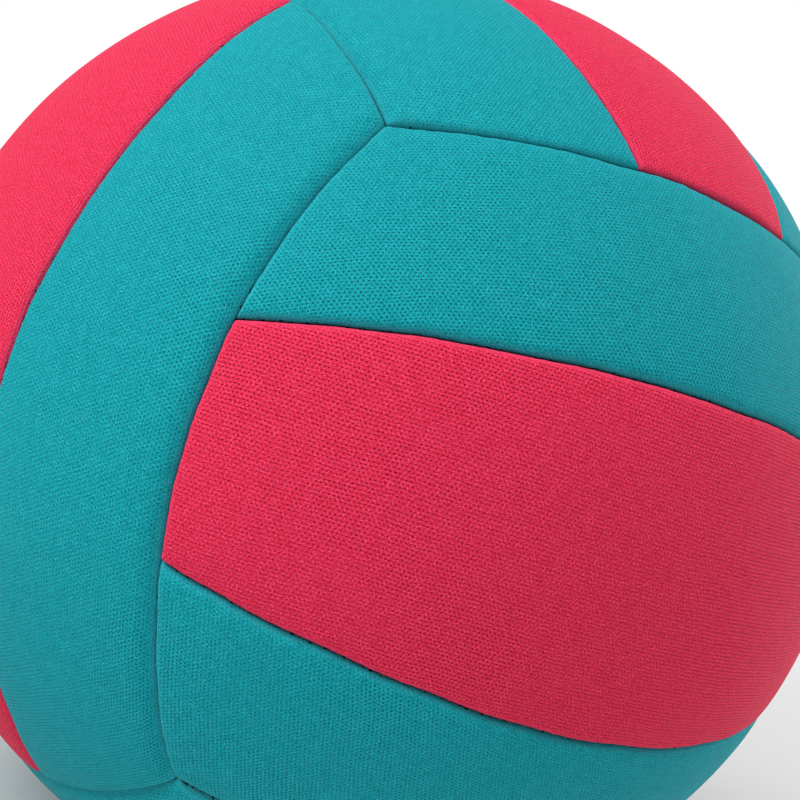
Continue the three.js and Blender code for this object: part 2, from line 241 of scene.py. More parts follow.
class Effects:
    """Surface effects that several finishes share, each a node group made once.

    The edges say where a mask starts and where it's full: the hem's in millimetres from the seam,
    the others in the values of their noise. The reliefs are the loops' height in a furrow and hole.
    """

    HOLE_EDGE = (0.15, 1.3)
    FURROW_EDGE = (0.34, 0.66)
    LEAST_FURROW = 0.3
    FURROW_RELIEF = -0.5
    HOLE_RELIEF = -0.8
    # The lip's paler band is partly a painted highlight, the thin line at the seam's edge is a
    # painted highlight, and the dark groove is painted shade.
    LIP_EDGE = (0.0, 1.3)
    FOLD_EDGE = (0.02, 0.18)
    NICK_EDGE = (-0.10, 0.02)
    OPEN_EDGE = (0.25, 1.7)
    HEM_WANDER = 0.8
    PATCH_EDGE = (0.38, 0.66)

    def __init__(self) -> None:
        """Makes the groups."""
        self.knit, self.hem, self.tone = self.make_knit(), self.make_hem(), self.make_tone()

    def toned(self, bench: Bench, place: Socket, scale: float, amount: float) -> Sockets:
        """Places the slow change of tone in a material."""
        return bench.place(self.tone, {"Place": place, "Scale": scale, "Amount": amount})

    def make_knit(self) -> Tree:
        """Makes the knit: rows of stitches, each with its own small hole, and fibre over them.

        Returns:
            The group, which puts out masks of the holes, the furrows between rows and the fibre,
            and the loops' height.
        """
        names = ("Hole", "Furrow", "Fibre", "Height")
        inputs = {"Cloth": ORIGIN} | Gauge().inputs()
        bench, given = new_group("Knit loops", inputs, names)
        cloth = given["Cloth"]

        def noise(scale: Feed, detail: float, stretch: float = 1.0) -> Node:
            """Adds a noise over the cloth, drawn out along the rows by a stretch."""
            drawn = bench.vector_math("MULTIPLY", {0: cloth, 1: (1.0 / stretch, 1.0, 1.0)})
            return bench.noise(drawn, scale, detail, rough=0.65, dimensions="2D")

        # Rows wander a little on real cloth, so places are shifted by a slow noise.
        drift = noise(scale=0.42, detail=3.0)
        pulled = bench.vector_math("SUBTRACT", {0: drift.outputs["Color"], 1: (0.5, 0.5, 0.5)})
        shift = bench.vector_math("SCALE", {0: pulled, "Scale": given["Wander"]})
        moved = bench.vector_math("ADD", {0: cloth, 1: shift})
        spot = bench.add("ShaderNodeSeparateXYZ", {0: moved}).outputs
        row = bench.math("DIVIDE", spot["Y"], given["Row Spacing"])
        along = bench.math("DIVIDE", spot["X"], given["Stitch Spacing"])
        row_number = bench.math("FLOOR", row)
        stitch = bench.math("MULTIPLY_ADD", row_number, given["Row Shift"], along)
        # Each stitch draws its hole's two shifts and its depth by chance.
        cell = {"X": row_number, "Y": bench.math("FLOOR", stitch)}
        seed = {"Vector": bench.add("ShaderNodeCombineXYZ", cell).outputs[0]}
        chance = bench.add("ShaderNodeTexWhiteNoise", seed, noise_dimensions="2D")
        draws = bench.add("ShaderNodeSeparateColor", {0: chance.outputs["Color"]}).outputs
        reach = []
        for phase, draw, size in ((stitch, draws[0], "Hole Length"), (row, draws[1], "Hole Width")):
            middle = bench.centred(bench.math("FRACT", phase))
            off = bench.math("MULTIPLY_ADD", bench.centred(draw), given["Scatter"], middle)
            share = bench.math("ABSOLUTE", bench.math("DIVIDE", off, given[size]))
            reach.append(bench.math("POWER", share, 2.0))
        hole = bench.step(bench.math("ADD", *reach), self.HOLE_EDGE, (1.0, 0.0))
        loss = bench.math("MULTIPLY", draws[2], given["Hole Spread"])
        hole = bench.math("MULTIPLY", hole, bench.math("SUBTRACT", 1.0, loss))
        # Furrows run along the rows and up and down both slants between the stitches.
        rank = bench.centred(row)
        rising = bench.math("MULTIPLY_ADD", rank, given["Row Shift"], bench.centred(along))
        falling = bench.math("SUBTRACT", rising, rank)
        furrow: Feed = 0.0
        for phase, name in ((rank, "Row"), (rising, "Rising"), (falling, "Falling")):
            swing = bench.math("COSINE", bench.math("MULTIPLY", phase, math.tau))
            groove = bench.step(swing, (0.0, 1.0))
            furrow = bench.math("MULTIPLY_ADD", groove, given[f"{name} Furrow"], furrow)
        patch = noise(scale=0.95, detail=1.0, stretch=2.5).outputs[0]
        clear = bench.step(patch, self.FURROW_EDGE, (self.LEAST_FURROW, 1.0))
        furrow = bench.math("MULTIPLY", furrow, clear)
        fibre = noise(given["Fibre Scale"], detail=1.5, stretch=1.5).outputs[0]
        sunk = bench.math("MULTIPLY", furrow, self.FURROW_RELIEF)
        raised = bench.math("MULTIPLY_ADD", fibre, given["Fibre Relief"], sunk)
        height = bench.math("MULTIPLY_ADD", hole, self.HOLE_RELIEF, raised)
        bench.add("NodeGroupOutput", dict(zip(names, (hole, furrow, fibre, height))))
        return bench.tree

    def make_hem(self) -> Tree:
        """Makes the look of cloth that turns into a seam: paler over the lip, partly as a painted
        highlight, with painted shade in the groove.

        Returns:
            The group, which puts out masks of the lip's paler band (stretched knit and a painted
            highlight), the painted highlight along the seam's thin edge line, the painted shade in
            the groove and the open knit.
        """
        names = ("Lip", "Fold", "Nick", "Open")
        bench, given = new_group("Turned-in edge", {"Cloth": ORIGIN, "Distance": 5.0}, names)
        distance = given["Distance"]
        patch = bench.noise(given["Cloth"], scale=1.0, detail=1.0, dimensions="2D")
        uneven = bench.math(
            "MULTIPLY_ADD", patch.outputs[0], self.HEM_WANDER, -self.HEM_WANDER / 2
        )
        ragged = bench.math("ADD", distance, uneven)
        # A paler lip with a painted highlight, a painted highlight on the seam's edge line, and
        # painted shade in the groove.
        lip = bench.step(ragged, self.LIP_EDGE, (1.0, 0.0))
        fold = bench.step(distance, self.FOLD_EDGE, (1.0, 0.0))
        groove_shade = bench.step(ragged, self.NICK_EDGE, (1.0, 0.0))
        opened = bench.step(ragged, self.OPEN_EDGE)
        bench.add("NodeGroupOutput", dict(zip(names, (lip, fold, groove_shade, opened))))
        return bench.tree

    def make_tone(self) -> Tree:
        """Makes a slow change of tone over a surface, as dye, handling and dust leave it.

        Returns:
            The group, which puts out a factor near 1 for the colour's value and a mask of patches.
        """
        inputs = {"Place": ORIGIN, "Scale": 30.0, "Amount": 0.1}
        bench, given = new_group("Slow tone", inputs, ("Factor", "Patch"))
        noise = bench.noise(given["Place"], given["Scale"], detail=3.0).outputs[0]
        factor = bench.math("MULTIPLY_ADD", bench.centred(noise), given["Amount"], 1.0)
        patch = bench.step(noise, self.PATCH_EDGE)
        bench.add("NodeGroupOutput", {"Factor": factor, "Patch": patch})
        return bench.tree


def colour(*parts: float) -> tuple[float, ...]:
    """Turns a screen colour's red, green and blue, 0 to 255, into a shader's linear colour."""
    shares = [part / 255 for part in parts]
    return *(s / 12.92 if s <= 0.04045 else ((s + 0.055) / 1.055) ** 2.4 for s in shares), 1.0


def new_material(name: str) -> tuple[Material, Bench, Node]:
    """Makes an empty node material.

    Args:
        name: The material's name.

    Returns:
        The material, a bench on its nodes and its Material Output node.
    """
    material = bpy.data.materials.new(name)
    material.use_nodes = True
    material.node_tree.nodes.clear()
    bench = Bench(material.node_tree)
    return material, bench, bench.add("ShaderNodeOutputMaterial")


@dataclass(frozen=True)
class Ground:
    """What a finish is made on: the bench, the shared effects, the place and its slow tone."""

    bench: Bench
    effects: Effects
    place: Socket
    tone: Sockets


@dataclass(frozen=True, kw_only=True)
class Finish:
    """What all finishes share.

    The tone is its scale and amount, the roughness its least value and the grain's share, and the
    bump its strength and depth in millimetres. The gloss is the specular level, the sheen and the
    sheen's roughness.
    """

    name: str
    tone: Pair
    rough: Pair
    bump: Pair
    gloss: Triple = (0.5, 0.0, 0.5)

    def surface(self, ground: Ground) -> Look:
        """Gives the colour, the grain that varies the roughness and the height."""
        raise NotImplementedError

    def make(self, effects: Effects) -> Material:
        """Makes the material.

        Args:
            effects: The shared effects.

        Returns:
            The material.
        """
        material, bench, output = new_material(self.name)
        place = bench.add("ShaderNodeTexCoord").outputs["Object"]
        tone = effects.toned(bench, place, *self.tone)
        tint, grain, height = self.surface(Ground(bench, effects, place, tone))
        raised = {"Strength": self.bump[0], "Distance": self.bump[1] * MM, "Height": height}
        looks = {"Base Color": tint, "Normal": bench.add("ShaderNodeBump", raised).outputs[0]}
        looks["Roughness"] = bench.math("MULTIPLY_ADD", grain, self.rough[1], self.rough[0])
        looks |= zip(("Specular IOR Level", "Sheen Weight", "Sheen Roughness"), self.gloss)
        shader = bench.add("ShaderNodeBsdfPrincipled", looks)
        bench.tree.links.new(shader.outputs[0], output.inputs["Surface"])
        return material


@dataclass(frozen=True, kw_only=True)
class KnitFinish(Finish):
    """One colour of the knitted cover cloth.

    The colours are the loops', their worn parts' and the painted highlights' on their fibre tops,
    the holes' (painted shade in the knit's gaps), the lip's (paler stretched knit and a painted
    highlight), the painted highlight's along the seam's thin edge line and the painted shade's in
    the groove. The deep shares are of the holes' depth: everywhere, and in patches.
    """

    gauge: Gauge
    yarn: Triple
    worn: Triple
    light: Triple
    hole: Triple
    lip: Triple
    fold: Triple
    shade: Triple
    hole_depth: float
    furrow_depth: float
    fibre_contrast: float
    worn_share: float = 0.3
    lip_share: float = 0.35
    fold_share: float = 0.25
    deep_shares: Pair = (0.75, 0.5)
    fluff_edge: Pair = (0.42, 0.78)
    patches: Pair = (520.0, 0.1)
    tone: Pair = (28.0, 0.12)
    rough: Pair = (0.7, 0.15)
    bump: Pair = (1.0, 0.08)
    gloss: Triple = (0.07, 0.03, 0.4)

    def surface(self, ground: Ground) -> Look:
        """Makes the knit with its holes, furrows, fibre and turned-in edges.

        Args:
            ground: What the finish is made on.

        Returns:
            The colour, the fibre and the loops' height.
        """
        bench, effects, tone = ground.bench, ground.effects, ground.tone
        cloth = bench.add("ShaderNodeUVMap", uv_map=CLOTH_MAP).outputs["UV"]
        mark = {"attribute_type": "GEOMETRY", "attribute_name": SEAM_MARK}
        distance = bench.add("ShaderNodeAttribute", **mark).outputs["Fac"]
        knit = bench.place(effects.knit, {"Cloth": cloth} | self.gauge.inputs())
        hem = bench.place(effects.hem, {"Cloth": cloth, "Distance": distance})
        spots = effects.toned(bench, ground.place, *self.patches)
        # Worn patches and painted highlights on the fibre tops colour the loops, then the holes and
        # furrows darken them as painted shade.
        rubbed = bench.math("MULTIPLY", spots["Patch"], self.worn_share)
        worn = bench.blend(rubbed, colour(*self.yarn), colour(*self.worn))
        fibre_highlight = bench.step(knit["Fibre"], self.fluff_edge)
        loops = bench.blend(fibre_highlight, worn, colour(*self.light))
        least_deep, more_deep = (share * self.hole_depth for share in self.deep_shares)
        deep = bench.math("MULTIPLY_ADD", tone["Patch"], more_deep, least_deep)
        holes = bench.math("MULTIPLY", bench.math("MULTIPLY", knit["Hole"], hem["Open"]), deep)
        furrows = bench.math("MULTIPLY", knit["Furrow"], self.furrow_depth)
        made = bench.blend(bench.math("MAXIMUM", holes, furrows), loops, colour(*self.hole))
        least = 1.0 - self.fibre_contrast / 2
        grain = bench.math("MULTIPLY_ADD", knit["Fibre"], self.fibre_contrast, least)
        even = bench.math("MULTIPLY", tone["Factor"], spots["Factor"])
        made = bench.vector_math("SCALE", {0: made, "Scale": bench.math("MULTIPLY", even, grain)})
        # The lip's paler band (stretched knit and a painted highlight) and the painted highlight
        # along the seam's edge line lie over the knit, and the painted shade of the groove over
        # all.
        for mask, share, tint in (
            ("Lip", self.lip_share, self.lip), ("Fold", self.fold_share, self.fold)
        ):
            made = bench.blend(bench.math("MULTIPLY", hem[mask], share), made, colour(*tint))
        return bench.blend(hem["Nick"], made, colour(*self.shade)), knit["Fibre"], knit["Height"]


def dusty_grain(bench: Bench, place: Socket) -> tuple[Socket, Socket]:
    """Gives the dust on moulded rubber's fine grain, and the grain."""
    grain = bench.noise(place, scale=2600.0, detail=3.0).outputs[0]
    return bench.step(grain, span=(0.55, 0.8)), grain


def twisted_plies(bench: Bench, place: Socket) -> tuple[Socket, Socket]:
    """Gives the plies of a waxed thread, as a mask and as a grain."""
    waves = {"Vector": place, "Scale": 900.0, "Distortion": 2.0, "Detail": 1.0}
    return (bench.add("ShaderNodeTexWave", waves, bands_direction="DIAGONAL").outputs["Fac"],) * 2


def plain_weave(bench: Bench, place: Socket) -> tuple[Socket, Socket]:
    """Weaves threads along Y and Z over and under each other.

    Args:
        bench: The bench on the material's nodes.
        place: The place on the piece.

    Returns:
        The weave, as a mask and as a grain.
    """
    axes = bench.add("ShaderNodeSeparateXYZ", {0: place}).outputs
    turns = math.pi / (BACKING_THREAD * MM)
    waves = [bench.math("SINE", bench.math("MULTIPLY", axes[axis], turns)) for axis in "YZ"]
    over = bench.math("MULTIPLY_ADD", bench.math("MULTIPLY", *waves), 0.5, 0.5)
    return over, over


@dataclass(frozen=True, kw_only=True)
class PlainFinish(Finish):
    """A finish of two colours that one grain mixes, roughens and raises."""

    body: Triple
    worn: Triple
    grain: Callable[[Bench, Socket], tuple[Socket, Socket]]

    def surface(self, ground: Ground) -> Look:
        """Makes the mix of the two colours.

        Args:
            ground: What the finish is made on.

        Returns:
            The colour, and the grain as both roughness and height.
        """
        share, grain = self.grain(ground.bench, ground.place)
        mixed = ground.bench.blend(share, colour(*self.body), colour(*self.worn))
        toned = ground.bench.vector_math("SCALE", {0: mixed, "Scale": ground.tone["Factor"]})
        return toned, grain, grain


class Slot(Enum):
    """The record's material slots."""

    TEAL = "teal_knit"
    PINK = "pink_knit"
    THREAD = "seam_thread"
    BLADDER = "bladder_rubber"
    VALVE = "valve_rubber"
    BACKING = "backing_cloth"


RUBBER = {"grain": dusty_grain, "tone": (160.0, 0.5), "bump": (0.5, 0.05)}

FINISHES: dict[Slot, Finish] = {
    # In both knits the light, lip and edge-line colours are painted highlights, and the hole and
    # shade colours are painted shade.
    Slot.TEAL: KnitFinish(
        name="Teal knit", yarn=(0, 146, 156), worn=(28, 156, 166), light=(42, 178, 188),
        hole=(0, 66, 76), lip=(66, 184, 196), fold=(110, 160, 178), shade=(2, 28, 36),
        hole_depth=0.78, furrow_depth=0.42, fibre_contrast=0.7,
        gauge=Gauge(
            row_spacing=0.62, stitch_spacing=0.83, row_shift=0.47, hole_length=0.24,
            hole_width=0.28, hole_spread=0.3, scatter=0.09, row_furrow=0.35, rising_furrow=0.5,
            falling_furrow=0.35, fibre_scale=4.6, fibre_relief=0.35,
        ),
    ),
    Slot.PINK: KnitFinish(
        name="Pink knit", yarn=(220, 36, 72), worn=(218, 52, 88), light=(240, 74, 110),
        hole=(122, 0, 18), lip=(242, 80, 120), fold=(190, 110, 150), shade=(40, 4, 18),
        hole_depth=0.95, furrow_depth=0.5, fibre_contrast=0.65,
        gauge=Gauge(
            row_spacing=0.69, stitch_spacing=0.79, row_shift=0.58, hole_length=0.26,
            hole_width=0.22, hole_spread=0.35, scatter=0.11, row_furrow=0.7, rising_furrow=0.15,
            falling_furrow=0.2, fibre_scale=3.9, fibre_relief=0.3,
        ),
    ),
    Slot.THREAD: PlainFinish(
        name="Seam thread", body=(20, 44, 48), worn=(44, 84, 90), grain=twisted_plies,
        tone=(300.0, 0.4), rough=(0.75, -0.2), bump=(0.8, 0.06),
    ),
    Slot.BLADDER: PlainFinish(
        name="Bladder rubber", body=(30, 30, 32), worn=(58, 58, 60), rough=(0.45, 0.3), **RUBBER
    ),
    Slot.VALVE: PlainFinish(
        name="Valve rubber", body=(38, 38, 40), worn=(84, 84, 86), rough=(0.35, 0.3), **RUBBER
    ),
    Slot.BACKING: PlainFinish(
        name="Backing cloth", body=(206, 201, 188), worn=(186, 180, 166), grain=plain_weave,
        tone=(120.0, 0.2), rough=(0.85, 0.1), bump=(0.8, 0.1),
    ),
}


def unit(vectors: Array) -> Array:
    """Scales vectors along the last axis to a length of 1."""
    return vectors / np.linalg.norm(vectors, axis=-1, keepdims=True)


def crossing(value_at: Callable[[Array], Array], low: Array, high: Array) -> Array:
    """Finds where a rising or falling function passes zero.

    Args:
        value_at: The function, which takes and gives arrays.
        low: Start of each search.
        high: End of each search.

    Returns:
        The values at which it passes zero.
    """
    rising = value_at(high) > 0
    for _ in range(HALVINGS):
        middle = (low + high) / 2
        above = (value_at(middle) > 0) == rising
        low, high = np.where(above, low, middle), np.where(above, middle, high)
    return (low + high) / 2


class Ripple:
    """Smooth, seeded unevenness over the ball, made of crossing waves of different lengths."""

    LENGTHS = (0.7, 1.5)

    def __init__(self, seed: int, wavelength: float, waves: int = 14) -> None:
        """Draws the waves.

        Args:
            seed: Seed of the draw.
            wavelength: Typical wavelength in millimetres.
            waves: How many waves cross.
        """
        draw = np.random.default_rng(seed)
        directions = unit(draw.normal(size=(waves, 3)))
        lengths = wavelength * draw.uniform(*self.LENGTHS, waves)
        self.waves = directions * (math.tau / lengths)[:, None]
        self.phases = draw.uniform(0, math.tau, waves)
        self.scale = math.sqrt(2 / waves)

    def at(self, points: Array) -> Array:
        """Gives values about zero, whose spread is 1, at points in millimetres."""
        return np.sin(points @ self.waves.T + self.phases).sum(-1) * self.scale


@dataclass(frozen=True)
class Frame:
    """A face's directions: out of it, along its strips and across them."""

    normal: Array
    along: Array
    across: Array

    def turned(self, side: int) -> "Frame":
        """Gives the frame as it is, or turned half round its normal for the low side."""
        return Frame(self.normal, self.along * side, self.across * side)

    def leaned(self, angle: float) -> "Frame":
        """Turns the frame about its strips' direction.

        Args:
            angle: The angle in radians, from the normal towards across.

        Returns:
            The turned frame.
        """
        c, s = math.cos(angle), math.sin(angle)
        across = self.across * c - self.normal * s
        return Frame(self.normal * c + self.across * s, self.along, across)

    def direction(self, along: Array, across: Array) -> Array:
        """Gives unit vectors at angles along the strips and across them."""
        shares = np.cos(along) * np.cos(across), np.cos(along) * np.sin(across), np.sin(along)
        return self.mixed(*shares)

    def mixed(self, normal: Array, across: Array, along: Array) -> Array:
        """Adds up shares of the frame's three directions."""
        parts = (normal, self.normal), (across, self.across), (along, self.along)
        return sum(share[..., None] * axis for share, axis in parts)


@dataclass(frozen=True)
class Face:
    """One of the ball's six faces, with the names of its two sides and of its neighbours there."""

    name: str
    normal: Triple
    along: Triple
    across: Triple
    low: str
    high: str
    low_neighbour: str
    high_neighbour: str

    def frame(self) -> Frame:
        """Gives the face's directions as arrays."""
        return Frame(*(np.array(axis, float) for axis in (self.normal, self.along, self.across)))


FACES = (
    Face("front", (0, -1, 0), (1, 0, 0), (0, 0, 1), "lower", "upper", "bottom", "top"),
    Face("back", (0, 1, 0), (-1, 0, 0), (0, 0, 1), "lower", "upper", "bottom", "top"),
    Face("left", (-1, 0, 0), (0, 0, 1), (0, 1, 0), "front", "back", "front", "back"),
    Face("right", (1, 0, 0), (0, 0, 1), (0, -1, 0), "back", "front", "back", "front"),
    Face("top", (0, 0, 1), (0, 1, 0), (-1, 0, 0), "right", "left", "right", "left"),
    Face("bottom", (0, 0, -1), (0, 1, 0), (1, 0, 0), "left", "right", "left", "right"),
)

# Places on the ball, in millimetres from its centre, beside which the seams are less deep.
SHALLOWS = np.array(
    ((-38, -70, 76), (-10, -74, 74), (18, -75, 73), (46, -68, 74), (70, -56, 60)), float
)

# Places on the ball and how far the sewing draws the seams aside there, all in millimetres.
PULLS = (
    ((-78, -67, 20), (-0.16, 0.17, -0.06)), ((-58, -84, 27), (-0.12, 0.37, 0.92)),
    ((-30, -96, 30), (0.28, -0.11, -0.08)), ((12, -100, 31), (-0.86, -0.22, -0.38)),
    ((-78, -67, -21), (0.42, -0.38, -0.34)), ((-66, -78, -25), (0.35, -0.34, 0.14)),
    ((-53, -86, -26), (0.12, -0.30, 0.75)), ((-90, -31, 43), (0.56, -1.86, -0.15)),
    ((-98, -31, 20), (-0.07, 0.09, -0.21)), ((-101, -30, 0), (-0.42, 1.40, -0.11)),
    ((-82, -65, -2), (-0.04, 0.06, -0.21)), ((-77, -65, 29), (-0.12, 0.10, -0.10)),
    ((-64, -62, 55), (-0.86, -0.02, -1.02)), ((-46, -71, 62), (-0.62, -0.85, -1.45)),
    ((-29, -77, 65), (0.36, -0.19, -0.07)), ((-7, -81, 66), (-0.32, 0.91, 1.08)),
    ((-75, -64, -36), (-0.39, 0.82, -0.66)), ((-21, -77, 69), (0.43, 0.35, 0.53)),
    ((25, -68, 76), (0.70, -0.29, -0.49)),
)
PULLED, PULL = (np.array(part, float) for part in zip(*PULLS))


@dataclass
class Pattern:
    """The rules that the ball's panels are cut and sewn to, in millimetres.

    Beside the shallow seams the face is drawn in less, by the shallow share, and the marks of the
    lip, which place its painted highlight and the groove's painted shade, start deeper, by the
    shallow cover.
    """

    centre: Array
    radius: float = 105.0
    cover: float = 3.2
    middle_width: float = 63.5
    end_bow: float = 11.2
    wall_gap: float = 0.9
    lip_gap: float = 0.26
    turn_in_radius: float = 99.35
    thread_radius: float = 101.9
    shallow_share: float = 0.68
    shallow_spread: float = 16.0
    shallow_cover: float = 0.7
    thread_end_gap: float = 1.5
    corner_gap: float = 1.0
    valve_hole: float = 5.2
    wander: float = 0.10
    wander_wavelength: float = 16.0
    wander_seed: int = 40
    pull_spread: float = 24.0

    def __post_init__(self) -> None:
        """Works out the angles that follow and draws the seams' wander."""
        self.strip_angle = self.middle_width / 2 / self.radius
        self.bow = math.sin(self.end_bow / self.radius)
        seeds = range(self.wander_seed, self.wander_seed + 3)
        self.ripples = [Ripple(seed, self.wander_wavelength) for seed in seeds]

    def edge_distance(self, points: Array, normal: Array, across: Array, along: Array) -> Array:
        """Measures how far directions lie inside a face's bowed edge.

        Args:
            points: Directions from the centre.
            normal: The normal of the face that they are measured into.
            across: The normal of the face beyond the edge.
            along: Direction along the edge.

        Returns:
            Distances in millimetres, negative beyond the edge.
        """
        # The edge's bow is fullest midway along it and gone at the ball's eight corners.
        t = points @ along
        lean = (points @ normal - points @ across) / math.sqrt(2)
        slope = np.sqrt(1 + (6 * self.bow * t) ** 2 - (self.bow * (1 + 3 * t * t)) ** 2)
        return self.radius * (lean - self.bow * (1 - 3 * t * t)) / slope

    def end_distances(self, face: Frame, points: Array) -> list[Array]:
        """Measures how far directions lie inside a face's strip ends, its start and its stop."""
        ends = (-face.along, face.along)
        return [-self.edge_distance(points, end, face.normal, face.across) for end in ends]

    def strip_distance(self, face: Frame, points: Array) -> Array:
        """Measures how far directions lie beyond the seam on a middle strip's high side."""
        side = face.across * math.cos(self.strip_angle) - face.normal * math.sin(self.strip_angle)
        return self.radius * np.arcsin(points @ side)

    def end_reach(self, face: Frame) -> float:
        """Finds the angle along the strips at which a strip seam's thread stops short of the end.

        Args:
            face: The face, seen from the seam's side.

        Returns:
            The angle in radians.
        """
        def room(reach: Array) -> Array:
            """Gives the room that is left before the end."""
            points = face.direction(reach, np.full(1, self.strip_angle))
            return self.end_distances(face, points)[1] - self.thread_end_gap

        return float(crossing(room, *(np.full(1, angle) for angle in END_RANGE))[0])

    def seam_depth(self, points: Array) -> Array:
        """Gives how deep the seams are drawn in at directions from the centre.

        Args:
            points: Directions from the centre.

        Returns:
            Shares of the full depth, less beside the seam over the front's top.
        """
        apart = ((points[..., None, :] * self.radius - SHALLOWS) ** 2).sum(-1)
        return 1 - self.shallow_share * np.exp(-apart / (2 * self.shallow_spread**2)).max(-1)

    def placed(self, points: Array) -> Array:
        """Turns millimetres from the centre into metres in the row frame."""
        return (points + self.centre) * MM

    def settled(self, points: Array) -> Array:
        """Moves points a little over the ball, as hand-sewn seams are drawn aside, and places them.

        Args:
            points: Points in millimetres from the centre.

        Returns:
            The moved points, at their old distances from the centre, in metres in the row frame.
        """
        reach = np.linalg.norm(points, axis=-1, keepdims=True)
        on_ball = points / reach * self.radius
        shift = np.stack([ripple.at(on_ball) for ripple in self.ripples], -1) * self.wander
        away = ((on_ball[..., None, :] - PULLED) ** 2).sum(-1)
        pull = np.exp(-away / (2 * self.pull_spread**2)) @ PULL
        return self.placed(unit(on_ball + shift + pull) * reach)


def add_object(name: str, data: bpy.types.ID) -> Piece:
    """Adds an object to the scene, at the origin.

    Args:
        name: The object's name.
        data: Its mesh, lamp or camera.

    Returns:
        The object.
    """
    piece = bpy.data.objects.new(name, data)
    bpy.context.scene.collection.objects.link(piece)
    return piece


def mesh_object(name: str, points: Array, faces: Sequence, material: Material) -> Piece:
    """Makes a smooth-shaded mesh object.

    Args:
        name: The object's name.
        points: Places in metres.
        faces: Corner numbers of each face.
        material: Its material.

    Returns:
        The object, linked to the scene.
    """
    mesh = bpy.data.meshes.new(name)
    mesh.from_pydata(points.tolist(), [], np.array(faces).tolist())
    mesh.polygons.foreach_set("use_smooth", [True] * len(mesh.polygons))
    mesh.materials.append(material)
    return add_object(name, mesh)


def baked(piece: Piece) -> Piece:
    """Applies a piece's modifiers to its mesh.

    Args:
        piece: The object.

    Returns:
        The same object with a plain mesh and no modifiers.
    """
    graph = bpy.context.evaluated_depsgraph_get()
    shape, old = piece.evaluated_get(graph), piece.data
    mesh = bpy.data.meshes.new_from_object(shape, preserve_all_data_layers=True, depsgraph=graph)
    piece.modifiers.clear()
    piece.data = mesh
    bpy.data.meshes.remove(old)
    mesh.name = piece.name
    return piece


def mount(piece: Piece, slot: Slot, *nodes: str) -> None:
    """Sets a finished piece on the ball in place of its nodes and reports it.

    Args:
        piece: The piece.
        slot: The record's slot that its finish comes from; not used.
        *nodes: The nodes that it stands for.
    """
    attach(piece, BODY)
    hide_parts(*nodes)
    triangles = sum(len(face.vertices) - 2 for face in piece.data.polygons)
    log.info("%s: %d triangles, for %s", piece.name, triangles, ", ".join(nodes))


def border_steps(grid: Array) -> Array:
    """Gives the direction to the next row or column inside, along a grid's four borders.

    Args:
        grid: Places in rows and columns.

    Returns:
        Unit steps on the borders, the sum of two in the corners, and zero elsewhere.
    """
    steps, every = np.zeros_like(grid), slice(None)
    for edge, inner in ((0, 1), (-1, -2), ((every, 0), (every, 1)), ((every, -1), (every, -2))):
        steps[edge] += unit(grid[inner] - grid[edge])
    return steps


def shell_quads(rows: int, columns: int, levels: int) -> tuple[tuple[Array, ...], Array]:
    """Numbers a closed shell: a grid, levels of wall points round it and a like grid as its back.

    Args:
        rows: The grid's rows.
        columns: Its columns.
        levels: How many levels the wall has between the two grids.

    Returns:
        The border's row and column numbers in order round it, and each quad's corner numbers.
    """
    loop = [(0, c) for c in range(columns)] + [(r, columns - 1) for r in range(1, rows)]
    loop += [(rows - 1, c) for c in range(columns - 2, -1, -1)]
    loop += [(r, 0) for r in range(rows - 2, 0, -1)]
    around = tuple(np.array(loop).T)
    number = np.arange(rows * columns).reshape(rows, columns)
    corners = number[:-1, :-1], number[:-1, 1:], number[1:, 1:], number[1:, :-1]
    face = np.stack(corners, -1).reshape(-1, 4)
    last = rows * columns + levels * len(loop)
    walls = np.arange(rows * columns, last).reshape(levels, len(loop))
    rings = [number[around], *walls, last + number[around]]
    quads = [face]
    for upper, lower in zip(rings, rings[1:]):
        quads.append(np.stack([np.roll(upper, -1), upper, lower, np.roll(lower, -1)], -1))
    return around, np.concatenate([*quads, last + face[:, ::-1]])


